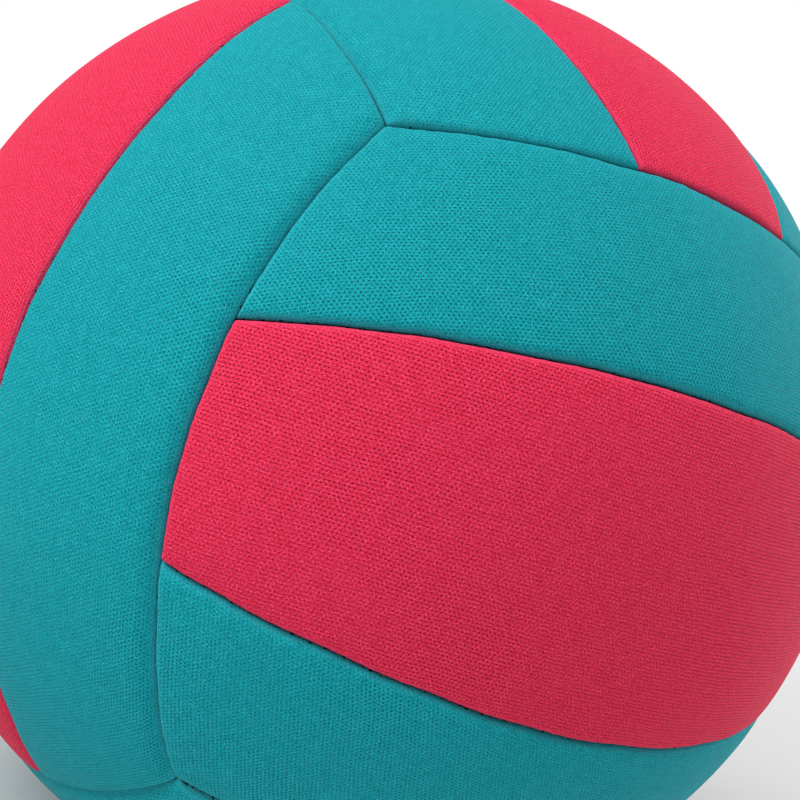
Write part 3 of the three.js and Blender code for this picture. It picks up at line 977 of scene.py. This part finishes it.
@dataclass
class Panel:
    """One sewn panel: knitted face over foam, rolled at its seams and crowned between them.

    Lengths are in millimetres and angles in degrees. The lay is how far the knit is turned. The
    rolls and lip shares are for the low, high, start and stop edges. The wall's levels are shares
    of its depth, each with its share of the way in under the lip. The dimples and the cloth's place
    are drawn from seeds that lie so far beyond the panel's own.
    """

    pattern: Pattern
    face: Face
    side: int
    seed: int
    lay: float
    cell: float = 1.05
    lip_depth: float = 1.9
    lip_width: float = 2.6
    side_rolls: tuple[float, ...] = (0.65, 1.6, 0.4, 0.4)
    middle_rolls: tuple[float, ...] = (0.55, 0.55, 0.4, 0.4)
    side_lips: tuple[float, ...] = (0.85, 1.0, 1.0, 1.0)
    middle_lips: tuple[float, ...] = (0.7, 0.7, 1.0, 1.0)
    shoulder_depth: float = 0.45
    shoulder_width: float = 7.0
    crown_depth: float = 0.15
    crown_width: float = 16.0
    pucker_pitch: float = 3.1
    pucker_depth: float = 0.14
    pucker_width: float = 2.2
    swell: float = 0.05
    swell_wavelength: float = 26.0
    dimple: float = 0.04
    dimple_wavelength: float = 5.5
    dimple_width: float = 4.0
    levels: tuple[Pair, ...] = ((0.10, 0.25), (0.24, 0.7), (0.45, 1.0), (0.75, 1.0))
    thick_edge: Pair = (1.5, 5.5)
    back_mark: float = -6.0
    edge_samples: int = 400
    dimple_seed: int = 500
    cloth_seed: int = 900
    cloth_room: float = 50.0
    side_lean: float = 29.0
    side_middle: float = 1.65
    border: tuple[float, ...] = (
        0.0, 0.05, 0.15, 0.3, 0.5, 0.8, 1.15, 1.6, 2.1, 2.7, 3.4, 4.3, 5.4
    )

    def __post_init__(self) -> None:
        """Takes the frame, rolls and lips of the panel's own side, and its lay where it's known."""
        self.frame = self.face.frame().turned(self.side or 1)
        self.rolls = self.side_rolls if self.side else self.middle_rolls
        self.lips = self.side_lips if self.side else self.middle_lips
        self.lay = KNOWN_LAYS.get(self.node, self.lay)

    @property
    def node(self) -> str:
        """The name of the panel's node."""
        label = {0: "middle", -1: self.face.low, 1: self.face.high}[self.side]
        return f"{self.face.name}_{label}_panel"

    @property
    def slot(self) -> Slot:
        """The panel's slot: pink in the middle, teal at the sides."""
        return Slot.TEAL if self.side else Slot.PINK

    def insets(self, points: Array) -> list[Array]:
        """Measures how far directions lie inside the panel's four cut edges.

        Args:
            points: Directions from the centre.

        Returns:
            Distances from the low, high, start and stop edges in millimetres.
        """
        pattern, frame = self.pattern, self.frame
        # A side strip has a straight seam and a bowed edge, a middle strip two straight seams.
        if self.side:
            low = pattern.strip_distance(frame, points)
            high = pattern.edge_distance(points, frame.normal, frame.across, frame.along)
        else:
            low = -pattern.strip_distance(frame.turned(-1), points)
            high = -pattern.strip_distance(frame, points)
        edges = (low, high, *pattern.end_distances(frame, points))
        return [distance - pattern.lip_gap / 2 for distance in edges]

    def inset(self, edge: int, along: Array, across: Array) -> Array:
        """Measures how far the place at two angles lies inside one edge."""
        return self.insets(self.frame.direction(along, across))[edge]

    def sides(self, along: Array) -> tuple[Array, Array]:
        """Finds the angles across the strips of the panel's two long edges.

        Args:
            along: Angles along the strips.

        Returns:
            The low edge's angles and the high edge's.
        """
        middle = self.side_middle * self.pattern.strip_angle if self.side else 0.0
        centre, far = np.full_like(along, middle), np.full_like(along, FAR_ACROSS)
        low = crossing(partial(self.inset, 0, along), centre, far * (0 if self.side else -1))
        return low, crossing(partial(self.inset, 1, along), centre, far)

    def room(self, shares: Array, edge: int, sign: int, angle: Array) -> Array:
        """Gives the room that is left before an end, at shares across the panel."""
        low, high = self.sides(sign * angle)
        return self.inset(edge, sign * angle, low + shares * (high - low))

    def end(self, shares: Array, edge: int, sign: int) -> Array:
        """Finds the angle along the strips at which the panel ends, at shares across it."""
        ends = (np.full_like(shares, angle) for angle in END_RANGE)
        return sign * crossing(partial(self.room, shares, edge, sign), *ends)

    def spaced(self, width: float) -> Array:
        """Spreads rows over a width.

        Args:
            width: The width in millimetres.

        Returns:
            Shares from 0 to 1, with the border's close rows at both ends.
        """
        edge = np.array(self.border) / width
        count = max(2, round(width * (1 - 2 * edge[-1]) / self.cell))
        inner = np.linspace(edge[-1], 1 - edge[-1], count + 1)[1:-1]
        return np.concatenate([edge, inner, 1 - edge[::-1]])

    def grid(self) -> Array:
        """Lays the panel's rows and columns over the ball, close together at its edges.

        Returns:
            Directions from the centre, in rows across the panel and columns along it.
        """
        low, high = self.sides(np.zeros(1))
        across = self.spaced(self.pattern.radius * float((high - low)[0]))
        along = self.spaced(2 * self.pattern.radius * self.end(np.array([0.5]), 3, 1)[0])
        start, stop = self.end(across, 2, -1), self.end(across, 3, 1)
        angles = start[:, None] + along[None, :] * (stop - start)[:, None]
        low, high = self.sides(angles)
        return self.frame.direction(angles, low + across[:, None] * (high - low))

    def drop(self, inset: Array, edge: int) -> Array:
        """Gives how far the face rolls down at distances from one seam.

        Args:
            inset: Distances in millimetres.
            edge: Which edge: low, high, start or stop.

        Returns:
            Drops in millimetres.
        """
        plump = self.rolls[edge]
        roll = np.clip(1 - inset / (self.lip_width * plump), 0, 1)
        lip = self.lip_depth * self.lips[edge] * (1 - np.sqrt(np.clip(1 - roll**2, 0, 1)))
        shoulder = np.clip(1 - inset / self.shoulder_width, 0, 1) ** 2
        crown = np.clip(1 - inset / self.crown_width, 0, 1) ** 2
        return lip + min(plump, 1.0) * self.shoulder_depth * shoulder + self.crown_depth * crown

    def pucker(self, inset: Array, run: Array) -> Array:
        """Gives the extra drop where the stitches pull, at distances from a seam and along it."""
        fade = np.clip(1 - inset / self.pucker_width, 0, 1)
        return self.pucker_depth * fade * (0.5 + 0.5 * np.cos(math.tau * run / self.pucker_pitch))

    def outer_radii(self, points: Array, insets: list[Array], cloth: Array) -> Array:
        """Shapes the face of the panel.

        Args:
            points: Directions from the centre.
            insets: Distances from the four edges.
            cloth: Places on the flat cloth.

        Returns:
            Distances from the centre in millimetres.
        """
        runs = cloth[..., 0], cloth[..., 0], cloth[..., 1], cloth[..., 1]
        drops = [
            self.drop(inset, edge) + self.pucker(inset, run)
            for edge, (inset, run) in enumerate(zip(insets, runs))
        ]
        # The cubes let the drops of two edges run together smoothly near a corner.
        total = self.pattern.seam_depth(points) * sum(drop**3 for drop in drops) ** (1 / 3)
        near = np.clip(1 - np.min(insets, 0) / self.dimple_width, 0, 1)
        on_ball = points * self.pattern.radius
        swell = Ripple(self.seed, self.swell_wavelength).at(on_ball)
        dimples = Ripple(self.seed + self.dimple_seed, self.dimple_wavelength).at(on_ball)
        uneven = self.swell * swell - self.swell + self.dimple * near * dimples
        return self.pattern.radius - total + uneven

    def cloth_places(self, points: Array) -> Array:
        """Lays the panel flat: millimetres along and across the cloth before it was sewn.

        Args:
            points: Directions from the centre.

        Returns:
            Places along a new last axis of two.
        """
        flat = self.frame.leaned(math.radians(self.side_lean) if self.side else 0.0)
        along = np.arctan2(points @ flat.along, points @ flat.normal)
        across = np.arcsin(np.clip(points @ flat.across, -1, 1))
        return self.pattern.radius * np.stack([along, across], -1)

    def stretched(self, cloth: Array, insets: list[Array]) -> Array:
        """Adds the cloth that the rolled edges take up.

        Args:
            cloth: Places on the flat cloth.
            insets: Distances from the four edges.

        Returns:
            The corrected places.
        """
        steps = np.linspace(0, self.crown_width, self.edge_samples)
        taken = []
        for edge, inset in enumerate(insets):
            spare = np.sqrt(1 + np.gradient(self.drop(steps, edge), steps) ** 2) - 1
            total = np.cumsum(spare[::-1])[::-1] * (steps[1] - steps[0])
            taken.append(np.interp(inset, steps, total))
        low, high, start, stop = taken
        return cloth + np.stack([stop - start, high - low], -1)

    def build(self, material: Material) -> Piece:
        """Builds the panel as one closed mesh: face, rolled walls and back.

        Args:
            material: Its knit.

        Returns:
            The panel's object.
        """
        pattern, points = self.pattern, self.grid()
        insets, cloth = self.insets(points), self.cloth_places(points)
        radii = self.outer_radii(points, insets, cloth)
        cloth = self.stretched(cloth, insets)
        inset = np.min(insets, 0)
        covered = pattern.shallow_cover * (1 - pattern.seam_depth(points))
        around, quads = shell_quads(*points.shape[:2], len(self.levels))
        tuck = (pattern.wall_gap - pattern.lip_gap) / 2 * border_steps(points)
        under = unit(points * pattern.radius + tuck)
        pull = border_steps(cloth)[around]
        bottom = pattern.turn_in_radius
        # The shell is the face, the wall's levels going in under the lip, and the back.
        shell = [(points * radii[..., None], cloth, inset + covered)]
        for level, tucked in self.levels:
            depth = level * (radii[around] - bottom)
            direction = unit(points[around] * (1 - tucked) + under[around] * tucked)
            place = direction * (radii[around] - depth)[:, None]
            shell.append((place, cloth[around] - pull * depth[:, None], covered[around] - depth))
        back = pattern.radius - pattern.cover
        thin, thick = self.thick_edge[1], self.thick_edge[1] - self.thick_edge[0]
        back_radii = back + (bottom - back) * np.clip((thin - inset) / thick, 0, 1)
        shell.append((under * back_radii[..., None], cloth, np.full_like(inset, self.back_mark)))
        places, cloths, marks = (
            np.concatenate([np.reshape(part, (-1, width)) for part in parts])
            for parts, width in zip(zip(*shell), (3, 2, 1))
        )
        settled = pattern.settled(places)
        # The ball is flat where it rests on the floor.
        settled[:, 2] = np.maximum(settled[:, 2], 0.0)
        name = self.node.replace("_panel", "_knit_panel")
        piece = mesh_object(name, settled, quads, material)
        self.mark(piece.data, cloths, marks)
        return piece

    def mark(self, mesh: bpy.types.Mesh, cloth: Array, marks: Array) -> None:
        """Writes the cloth's map and the distance from the seam onto the panel.

        Args:
            mesh: The panel's mesh.
            cloth: Places on the flat cloth for each vertex, in millimetres.
            marks: Distances from the seam for each vertex, negative below the lip.
        """
        draw = np.random.default_rng(self.seed + self.cloth_seed)
        lay = math.radians(self.lay)
        turn = np.array([[math.cos(lay), math.sin(lay)], [-math.sin(lay), math.cos(lay)]])
        laid = (cloth @ turn + draw.uniform(0, self.cloth_room, 2)).astype(np.float32)
        corners = np.zeros(len(mesh.loops), np.int32)
        mesh.loops.foreach_get("vertex_index", corners)
        mesh.uv_layers.new(name=CLOTH_MAP).uv.foreach_set("vector", laid[corners].ravel())
        mark = mesh.attributes.new(SEAM_MARK, "FLOAT", "POINT")
        mark.data.foreach_set("value", marks.astype(np.float32).ravel())


@dataclass
class Cover:
    """The eighteen panels.

    The lay is in degrees, and the cutter for the valve's hole is measured in cover thicknesses.
    """

    pattern: Pattern
    fill: float = 0.9
    lay_seed: int = 7
    most_lay: float = 4.0
    first_seed: int = 100
    seed_step: int = 10
    cutter_covers: float = 6.0
    cutter_sides: int = 96

    def build(self, materials: dict[Slot, Material]) -> None:
        """Args:
            materials: The finishes by slot.
        """
        draw = np.random.default_rng(self.lay_seed)
        for number, face in enumerate(FACES):
            for side in (0, -1, 1):
                lay = float(draw.uniform(-self.most_lay, self.most_lay))
                seed = self.first_seed + self.seed_step * number + side
                panel = Panel(self.pattern, face, side, seed, lay)
                piece = panel.build(materials[panel.slot])
                if panel.node == VALVE_PANEL:
                    self.cut_valve_hole(piece)
                mount(piece, panel.slot, panel.node)

    def cut_valve_hole(self, piece: Piece) -> None:
        """Cuts the round hole for the valve through a panel.

        Args:
            piece: The panel's object.
        """
        radius = self.pattern.valve_hole * MM
        length = self.cutter_covers * self.pattern.cover * MM
        middle = Vector(self.pattern.placed(np.array([self.pattern.radius, 0.0, 0.0])))
        turn = Matrix.Translation(middle) @ Matrix.Rotation(math.pi / 2, 4, "Y")
        size = {"radius1": radius, "radius2": radius, "depth": length}
        shape = bmesh.new()
        bmesh.ops.create_cone(
            shape, cap_ends=True, segments=self.cutter_sides, matrix=turn, **size
        )
        mesh = bpy.data.meshes.new("valve_hole")
        shape.to_mesh(mesh)
        shape.free()
        tool = add_object("valve_hole", mesh)
        cut = piece.modifiers.new("hole", "BOOLEAN")
        cut.operation, cut.object, cut.solver = "DIFFERENCE", tool, "EXACT"
        baked(piece)
        bpy.data.objects.remove(tool)
        bpy.data.meshes.remove(mesh)


@dataclass
class Stitching:
    """The sewn seams: a thread laid in each groove with the stitches that cross it."""

    pattern: Pattern
    material: Material
    pitch: float = 3.1
    thread_radius: float = 0.22
    stitch_width: float = 1.0
    stitch_rise: float = 0.22
    sides: int = 6
    steps: int = 90

    def tree(self) -> Tree:
        """Makes the tree that lays thread and stitches along a path.

        Returns:
            The geometry node tree.
        """
        tree = bpy.data.node_groups.new("Stitched seam", "GeometryNodeTree")
        sizes = dict.fromkeys(("Pitch", "Thread Radius", "Stitch Width", "Stitch Rise"), "Float")
        for label, kind in ({"Path": "Geometry"} | sizes | {"Centre": "Vector"}).items():
            tree.interface.new_socket(label, in_out="INPUT", socket_type=f"NodeSocket{kind}")
        tree.interface.new_socket("Seam", in_out="OUTPUT", socket_type="NodeSocketGeometry")
        bench = Bench(tree)
        given = bench.add("NodeGroupInput").outputs
        round_size = {"Resolution": self.sides, "Radius": given["Thread Radius"]}
        profile = bench.add("GeometryNodeCurvePrimitiveCircle", round_size).outputs["Curve"]

        def swept(curve: Socket) -> Socket:
            """Sweeps the thread's round profile along a curve."""
            inputs = {"Curve": curve, "Profile Curve": profile, "Fill Caps": True}
            return bench.add("GeometryNodeCurveToMesh", inputs).outputs["Mesh"]

        # One stitch is a low bow across the seam, set at even steps and turned to stand outwards.
        path = bench.add("GeometryNodeMeshToCurve", {"Mesh": given["Path"]}).outputs["Curve"]
        half = bench.math("MULTIPLY", given["Stitch Width"], 0.5)
        start = {"Y": bench.math("MULTIPLY", half, -1.0)}
        crest = {"Z": bench.math("MULTIPLY", given["Stitch Rise"], 2.0)}
        bow: Feeds = {"Resolution": self.sides}
        for label, place in (("Start", start), ("Middle", crest), ("End", {"Y": half})):
            bow[label] = bench.add("ShaderNodeCombineXYZ", place).outputs[0]
        stitch = swept(bench.add("GeometryNodeCurveQuadraticBezier", bow).outputs["Curve"])
        spread = {"Curve": path, "Length": given["Pitch"]}
        spots = bench.add("GeometryNodeCurveToPoints", spread, mode="LENGTH").outputs
        here = bench.add("GeometryNodeInputPosition").outputs[0]
        outward = bench.vector_math("SUBTRACT", {0: here, 1: given["Centre"]})
        align = "FunctionNodeAlignRotationToVector"
        facing = bench.add(align, {"Vector": spots["Tangent"]}, axis="X").outputs[0]
        turned = {"Rotation": facing, "Vector": outward}
        upright = bench.add(align, turned, axis="Z", pivot_axis="X").outputs[0]
        copies = {"Points": spots["Points"], "Instance": stitch, "Rotation": upright}
        joined = bench.add("GeometryNodeJoinGeometry")
        for part in (bench.add("GeometryNodeInstanceOnPoints", copies).outputs[0], swept(path)):
            tree.links.new(part, joined.inputs[0])
        real = bench.add("GeometryNodeRealizeInstances", {"Geometry": joined.outputs[0]})
        smooth = bench.add("GeometryNodeSetShadeSmooth", {"Geometry": real.outputs[0]})
        finish = {"Geometry": smooth.outputs[0], "Material": self.material}
        dressed = bench.add("GeometryNodeSetMaterial", finish)
        bench.add("NodeGroupOutput", {"Seam": dressed.outputs[0]})
        return tree

    def strip_path(self, face: Frame) -> Array:
        """Draws the straight seam on a middle strip's high side.

        Args:
            face: The face's directions.

        Returns:
            Directions from the centre along the seam.
        """
        reach = self.pattern.end_reach(face)
        along = np.linspace(-reach, reach, self.steps)
        return face.direction(along, np.full_like(along, self.pattern.strip_angle))

    def edge_path(self, face: Frame) -> Array:
        """Draws the bowed seam on a face's high side, which stops just short of the corners.

        Args:
            face: The face's directions.

        Returns:
            Directions from the centre along the seam.
        """
        corner = 1 / math.sqrt(3)
        reach = corner - self.pattern.corner_gap / self.pattern.radius
        t = np.linspace(-reach, reach, self.steps)
        lean = math.sqrt(2) * self.pattern.bow * (1 - 3 * t * t)
        outward = (np.sqrt(2 * (1 - t * t) - lean * lean) - lean) / 2
        return face.mixed(outward + lean, outward, t)

    def sew(self, name: str, path: Array, tree: Tree) -> None:
        """Sews one seam in place of its node.

        Args:
            name: The seam's name, which its node's name starts with too.
            path: Directions along the seam.
            tree: The stitching tree.
        """
        points = self.pattern.settled(path * self.pattern.thread_radius)
        mesh = bpy.data.meshes.new(name)
        mesh.from_pydata(points.tolist(), [(k, k + 1) for k in range(len(points) - 1)], [])
        piece = add_object(f"{name}_stitches", mesh)
        sewing = piece.modifiers.new("stitches", "NODES")
        sewing.node_group = tree
        for item in tree.interface.items_tree:
            if item.socket_type == "NodeSocketFloat":
                size = getattr(self, item.name.lower().replace(" ", "_"))
                sewing[item.identifier] = size * MM
            elif item.name == "Centre":
                sewing[item.identifier] = tuple(self.pattern.centre * MM)
        mount(baked(piece), Slot.THREAD, f"{name}_seam")

    def build(self) -> None:
        """Sews all the seams."""
        tree = self.tree()
        for face in FACES:
            for side, label, other in (
                (-1, face.low, face.low_neighbour), (1, face.high, face.high_neighbour)
            ):
                turned = face.frame().turned(side)
                self.sew(f"{face.name}_{label}_strip", self.strip_path(turned), tree)
                self.sew(f"{face.name}_to_{other}", self.edge_path(turned), tree)


def rounded(profile: Sequence[Triple], steps: int = 4) -> Array:
    """Rounds the corners of a closed profile.

    Args:
        profile: Each corner's two coordinates and its rounding radius.
        steps: Points on each rounded corner, less one.

    Returns:
        The rounded profile's points.
    """
    points = []
    for index, (x, y, radius) in enumerate(profile):
        corner = np.array([x, y])
        if radius <= 0:
            points.append(corner)
            continue
        before = unit(np.array(profile[index - 1][:2]) - corner)
        after = unit(np.array(profile[(index + 1) % len(profile)][:2]) - corner)
        half = math.acos(float(np.clip(before @ after, -1, 1))) / 2
        cut = radius / math.tan(half)
        start, stop = corner + before * cut, corner + after * cut
        for share in (step / steps for step in range(steps + 1)):
            near = (1 - share) ** 2 * start + 2 * share * (1 - share) * corner
            points.append(near + share**2 * stop)
    return np.array(points)


@dataclass
class Turned:
    """A piece that is turned about the valve's axis from a closed section."""

    pattern: Pattern

    def turn(self, name: str, profile: Array, segments: int, material: Material) -> Piece:
        """Turns a section about the valve's axis.

        Args:
            name: The piece's name.
            profile: Each point's distances from the axis and from the ball's centre.
            segments: Divisions round the axis.
            material: The piece's material.

        Returns:
            The turned object.
        """
        angles = np.arange(segments) * math.tau / segments
        radius, reach = profile[:, :1], profile[:, 1:]
        parts = reach + 0 * angles, radius * np.cos(angles), radius * np.sin(angles)
        number = np.arange(len(profile) * segments).reshape(len(profile), segments)
        below, above = np.roll(number, -1, 0), number
        corners = above, below, np.roll(below, -1, 1), np.roll(above, -1, 1)
        points = self.pattern.placed(np.stack(parts, -1).reshape(-1, 3))
        piece = mesh_object(name, points, np.stack(corners, -1).reshape(-1, 4), material)
        shape = bmesh.new()
        shape.from_mesh(piece.data)
        bmesh.ops.remove_doubles(shape, verts=shape.verts, dist=MERGE_DISTANCE)
        bmesh.ops.recalc_face_normals(shape, faces=shape.faces)
        shape.to_mesh(piece.data)
        shape.free()
        piece.data.set_sharp_from_angle(angle=SHARP_ANGLE)
        return piece


@dataclass
class Valve(Turned):
    """The needle valve: a flanged rubber housing and the plug in it that closes on itself."""

    top: float = 104.6
    body: float = 4.8
    bore: float = 2.6
    flange: float = 15.0
    flange_middle: float = 9.0
    flange_outer: float = 99.8
    flange_inner: float = 98.7
    length: float = 16.0
    rim: float = 3.1
    groove: Pair = (3.3, 3.95)
    bead: float = 4.15
    groove_depth: float = 0.25
    core: float = 2.3
    core_top: float = 103.8
    core_length: float = 12.0
    collar: float = 3.1
    collar_half: float = 2.0
    collar_room: float = 0.3
    funnel: float = 1.5
    funnel_depth: float = 0.6
    needle: float = 0.95
    housing_sides: int = 96
    core_sides: int = 64

    def housing_profile(self) -> Array:
        """Draws the housing's section, with a bead round its mouth and a rounded flange.

        Returns:
            The section's points.
        """
        bottom, floor = self.top - self.length, self.top - self.groove_depth
        middle = self.core_top - self.core_length / 2
        room, half = self.collar + self.collar_room, self.collar_half + self.collar_room
        flange = (
            (self.flange_inner, self.body, 0.5), (self.flange_inner, self.flange_middle, 0),
            (self.flange_inner, self.flange, 0.35), (self.flange_outer, self.flange, 0.35),
            (self.flange_outer, self.flange_middle, 0), (self.flange_outer, self.body, 0.5),
        )
        corners = [(self.bore, bottom, 0.3), (self.body, bottom, 0.6)]
        corners += [(radius, math.sqrt(sphere**2 - radius**2), r) for sphere, radius, r in flange]
        corners += [
            (self.body, self.top, 0.5), (self.bead, self.top, 0.15),
            (self.groove[1], floor, 0.15), (self.groove[0], floor, 0.15),
            (self.rim, self.top, 0.15), (self.bore, self.top, 0.2),
            (self.bore, middle + half, 0.1), (room, middle + half, 0.1),
            (room, middle - half, 0.1), (self.bore, middle - half, 0.1),
        ]
        return rounded(corners)

    def core_profile(self) -> Array:
        """Draws the plug's section, with a funnel that leads the needle in.

        Returns:
            The section's points.
        """
        bottom, middle = self.core_top - self.core_length, self.core_top - self.core_length / 2
        low, high = middle - self.collar_half, middle + self.collar_half
        return rounded([
            (self.needle, bottom, 0.1), (self.core, bottom, 0.5), (self.core, low, 0.1),
            (self.collar, low, 0.3), (self.collar, high, 0.3), (self.core, high, 0.1),
            (self.core, self.core_top, 0.4), (self.funnel, self.core_top, 0.2),
            (self.needle, self.core_top - self.funnel_depth, 0.2),
        ])

    def build(self, material: Material) -> None:
        """Builds the housing and the plug.

        Args:
            material: The valve's rubber.
        """
        housing = self.turn("valve_seat", self.housing_profile(), self.housing_sides, material)
        mount(housing, Slot.VALVE, "valve_housing")
        core = self.turn("valve_plug", self.core_profile(), self.core_sides, material)
        mount(core, Slot.VALVE, "valve_core")


@dataclass
class Bladder(Turned):
    """The rubber bladder under the cover, a closed shell with a mouth for the valve."""

    outer: float = 98.4
    wall: float = 0.9
    rows: int = 60
    segments: int = 120

    def profile(self) -> Array:
        """Draws the shell's section from its far pole to the mouth and back inside.

        Returns:
            The section's points.
        """
        arcs = []
        for radius, turn in ((self.outer, 1), (self.outer - self.wall, -1)):
            mouth = math.asin(self.pattern.valve_hole / radius)
            angles = np.linspace(math.pi, mouth, self.rows)[::turn]
            arc = np.stack([radius * np.sin(angles), radius * np.cos(angles)], -1)
            arc[0 if turn > 0 else -1, 0] = 0.0
            arcs.append(arc)
        return np.concatenate(arcs)

    def build(self, material: Material) -> None:
        """Builds the bladder from its rubber."""
        piece = self.turn("bladder_shell", self.profile(), self.segments, material)
        mount(piece, Slot.BLADDER, "bladder")


class Lamp(Enum):
    """The soft boxes: azimuth and elevation in degrees, distance and side in metres, and watts."""

    KEY = (-84.0, 45.0, 1.6, 1.3, 31.0)
    FILL = (80.0, 14.0, 1.6, 1.3, 15.5)
    TOP = (50.0, 60.0, 1.6, 1.0, 5.0)


def bearing(azimuth: float, elevation: float) -> Vector:
    """Gives a direction from the ball.

    Args:
        azimuth: The angle from -Y towards +X, in degrees.
        elevation: The angle above the floor, in degrees.

    Returns:
        The unit direction.
    """
    turn, lift = math.radians(azimuth), math.radians(elevation)
    level = math.cos(lift)
    return Vector((math.sin(turn) * level, -math.cos(turn) * level, math.sin(lift)))


@dataclass
class Studio:
    """The pale floor, the soft light and the camera.

    Angles are in degrees. The camera's place is given in the ball's radii: how far back it is, and
    how far to its own right and up. The floor is in metres.
    """

    pattern: Pattern
    azimuth: float = -35.704
    elevation: float = 3.2004
    roll: float = 18.206
    distance: float = 2.85248
    aside: float = 0.05191
    above: float = 0.08283
    lens: float = 57.165
    sensor: float = 36.0
    clip: Pair = (0.01, 100.0)
    ambient: float = 0.24
    floor_side: float = 6.0
    floor_tone: int = 222
    floor_fade: Pair = (0.35, 1.1)

    def build(self) -> None:
        """Sets the whole studio up."""
        self.centre = Vector(self.pattern.centre * MM)
        self.set_camera()
        self.set_floor()
        self.set_world()
        for lamp in Lamp:
            self.set_lamp(lamp)
        bpy.context.scene.view_settings.view_transform = "Standard"

    def set_camera(self) -> None:
        """Sets the camera where the photograph was taken from."""
        back = bearing(self.azimuth, self.elevation)
        turn, roll = math.radians(self.azimuth), math.radians(self.roll)
        level = Vector((math.cos(turn), math.sin(turn), 0.0))
        right = level * math.cos(roll) + back.cross(level) * math.sin(roll)
        up = back.cross(right)
        place = self.aside * right + self.above * up + self.distance * back
        spot = self.centre + self.pattern.radius * MM * place
        data = bpy.data.cameras.new("camera")
        data.lens, data.sensor_width = self.lens, self.sensor
        data.clip_start, data.clip_end = self.clip
        camera = add_object("camera", data)
        axes = Matrix((right, up, back)).transposed().to_4x4()
        camera.matrix_world = Matrix.Translation(spot) @ axes
        bpy.context.scene.camera = camera

    def set_floor(self) -> None:
        """Lays the pale floor, which turns into the white background far from the ball."""
        material, bench, output = new_material("Pale floor")
        place = bench.add("ShaderNodeTexCoord").outputs["Object"]
        away = bench.add("ShaderNodeVectorMath", {0: place}, operation="LENGTH").outputs["Value"]
        share = bench.math("MULTIPLY", bench.seen(), bench.step(away, self.floor_fade))
        matt = bench.add("ShaderNodeBsdfDiffuse", {"Color": colour(*(self.floor_tone,) * 3)})
        white = bench.add("ShaderNodeEmission", {"Color": WHITE, "Strength": 1.0})
        mix = {0: share, 1: matt.outputs[0], 2: white.outputs[0]}
        mixed = bench.add("ShaderNodeMixShader", mix)
        bench.tree.links.new(mixed.outputs[0], output.inputs["Surface"])
        square = ((-1, -1, 0), (1, -1, 0), (1, 1, 0), (-1, 1, 0))
        corners = np.array(square) * self.floor_side
        floor = mesh_object("floor", corners, [(0, 1, 2, 3)], material)

    def set_world(self) -> None:
        """Sets a white surround that lights the ball softly."""
        world = bpy.data.worlds.new("surround")
        world.use_nodes = True
        world.node_tree.nodes.clear()
        bench = Bench(world.node_tree)
        light, white = (
            bench.add("ShaderNodeBackground", {"Color": WHITE, "Strength": strength}).outputs[0]
            for strength in (self.ambient, 1.0)
        )
        mixed = bench.add("ShaderNodeMixShader", {0: bench.seen(), 1: light, 2: white})
        bench.add("ShaderNodeOutputWorld", {"Surface": mixed.outputs[0]})
        bpy.context.scene.world = world

    def set_lamp(self, lamp: Lamp) -> None:
        """Hangs one soft box, aimed at the ball.

        Args:
            lamp: The lamp.
        """
        azimuth, elevation, distance, side, power = lamp.value
        toward = bearing(azimuth, elevation)
        data = bpy.data.lights.new(f"lamp_{lamp.name.lower()}", "AREA")
        data.shape, data.size, data.energy = "SQUARE", side, power
        box = add_object(data.name, data)
        box.rotation_mode = "QUATERNION"
        box.location = self.centre + toward * distance
        box.rotation_quaternion = toward.to_track_quat("Z", "Y")


def main() -> None:
    """Builds the ball's pieces in order."""
    logging.basicConfig(level=logging.INFO, format="%(name)s: %(message)s")
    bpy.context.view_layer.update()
    # The valve's core lies level with the ball's centre.
    low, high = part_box("valve_core")
    pattern = Pattern(centre=np.array([0.0, 0.0, (low.z + high.z) / 2 / MM]))
    effects = Effects()
    materials = {slot: finish.make(effects) for slot, finish in FINISHES.items()}
    Cover(pattern).build(materials)
    Stitching(pattern, materials[Slot.THREAD]).build()
    Valve(pattern).build(materials[Slot.VALVE])
    Bladder(pattern).build(materials[Slot.BLADDER])
    for place in frame["nodes"][BACKING_RING].material_slots:
        place.material = materials[Slot.BACKING]
    log.info("%s: the solid itself, in backing cloth", BACKING_RING)
    Studio(pattern).build()


if __name__ == "__main__":
    main()
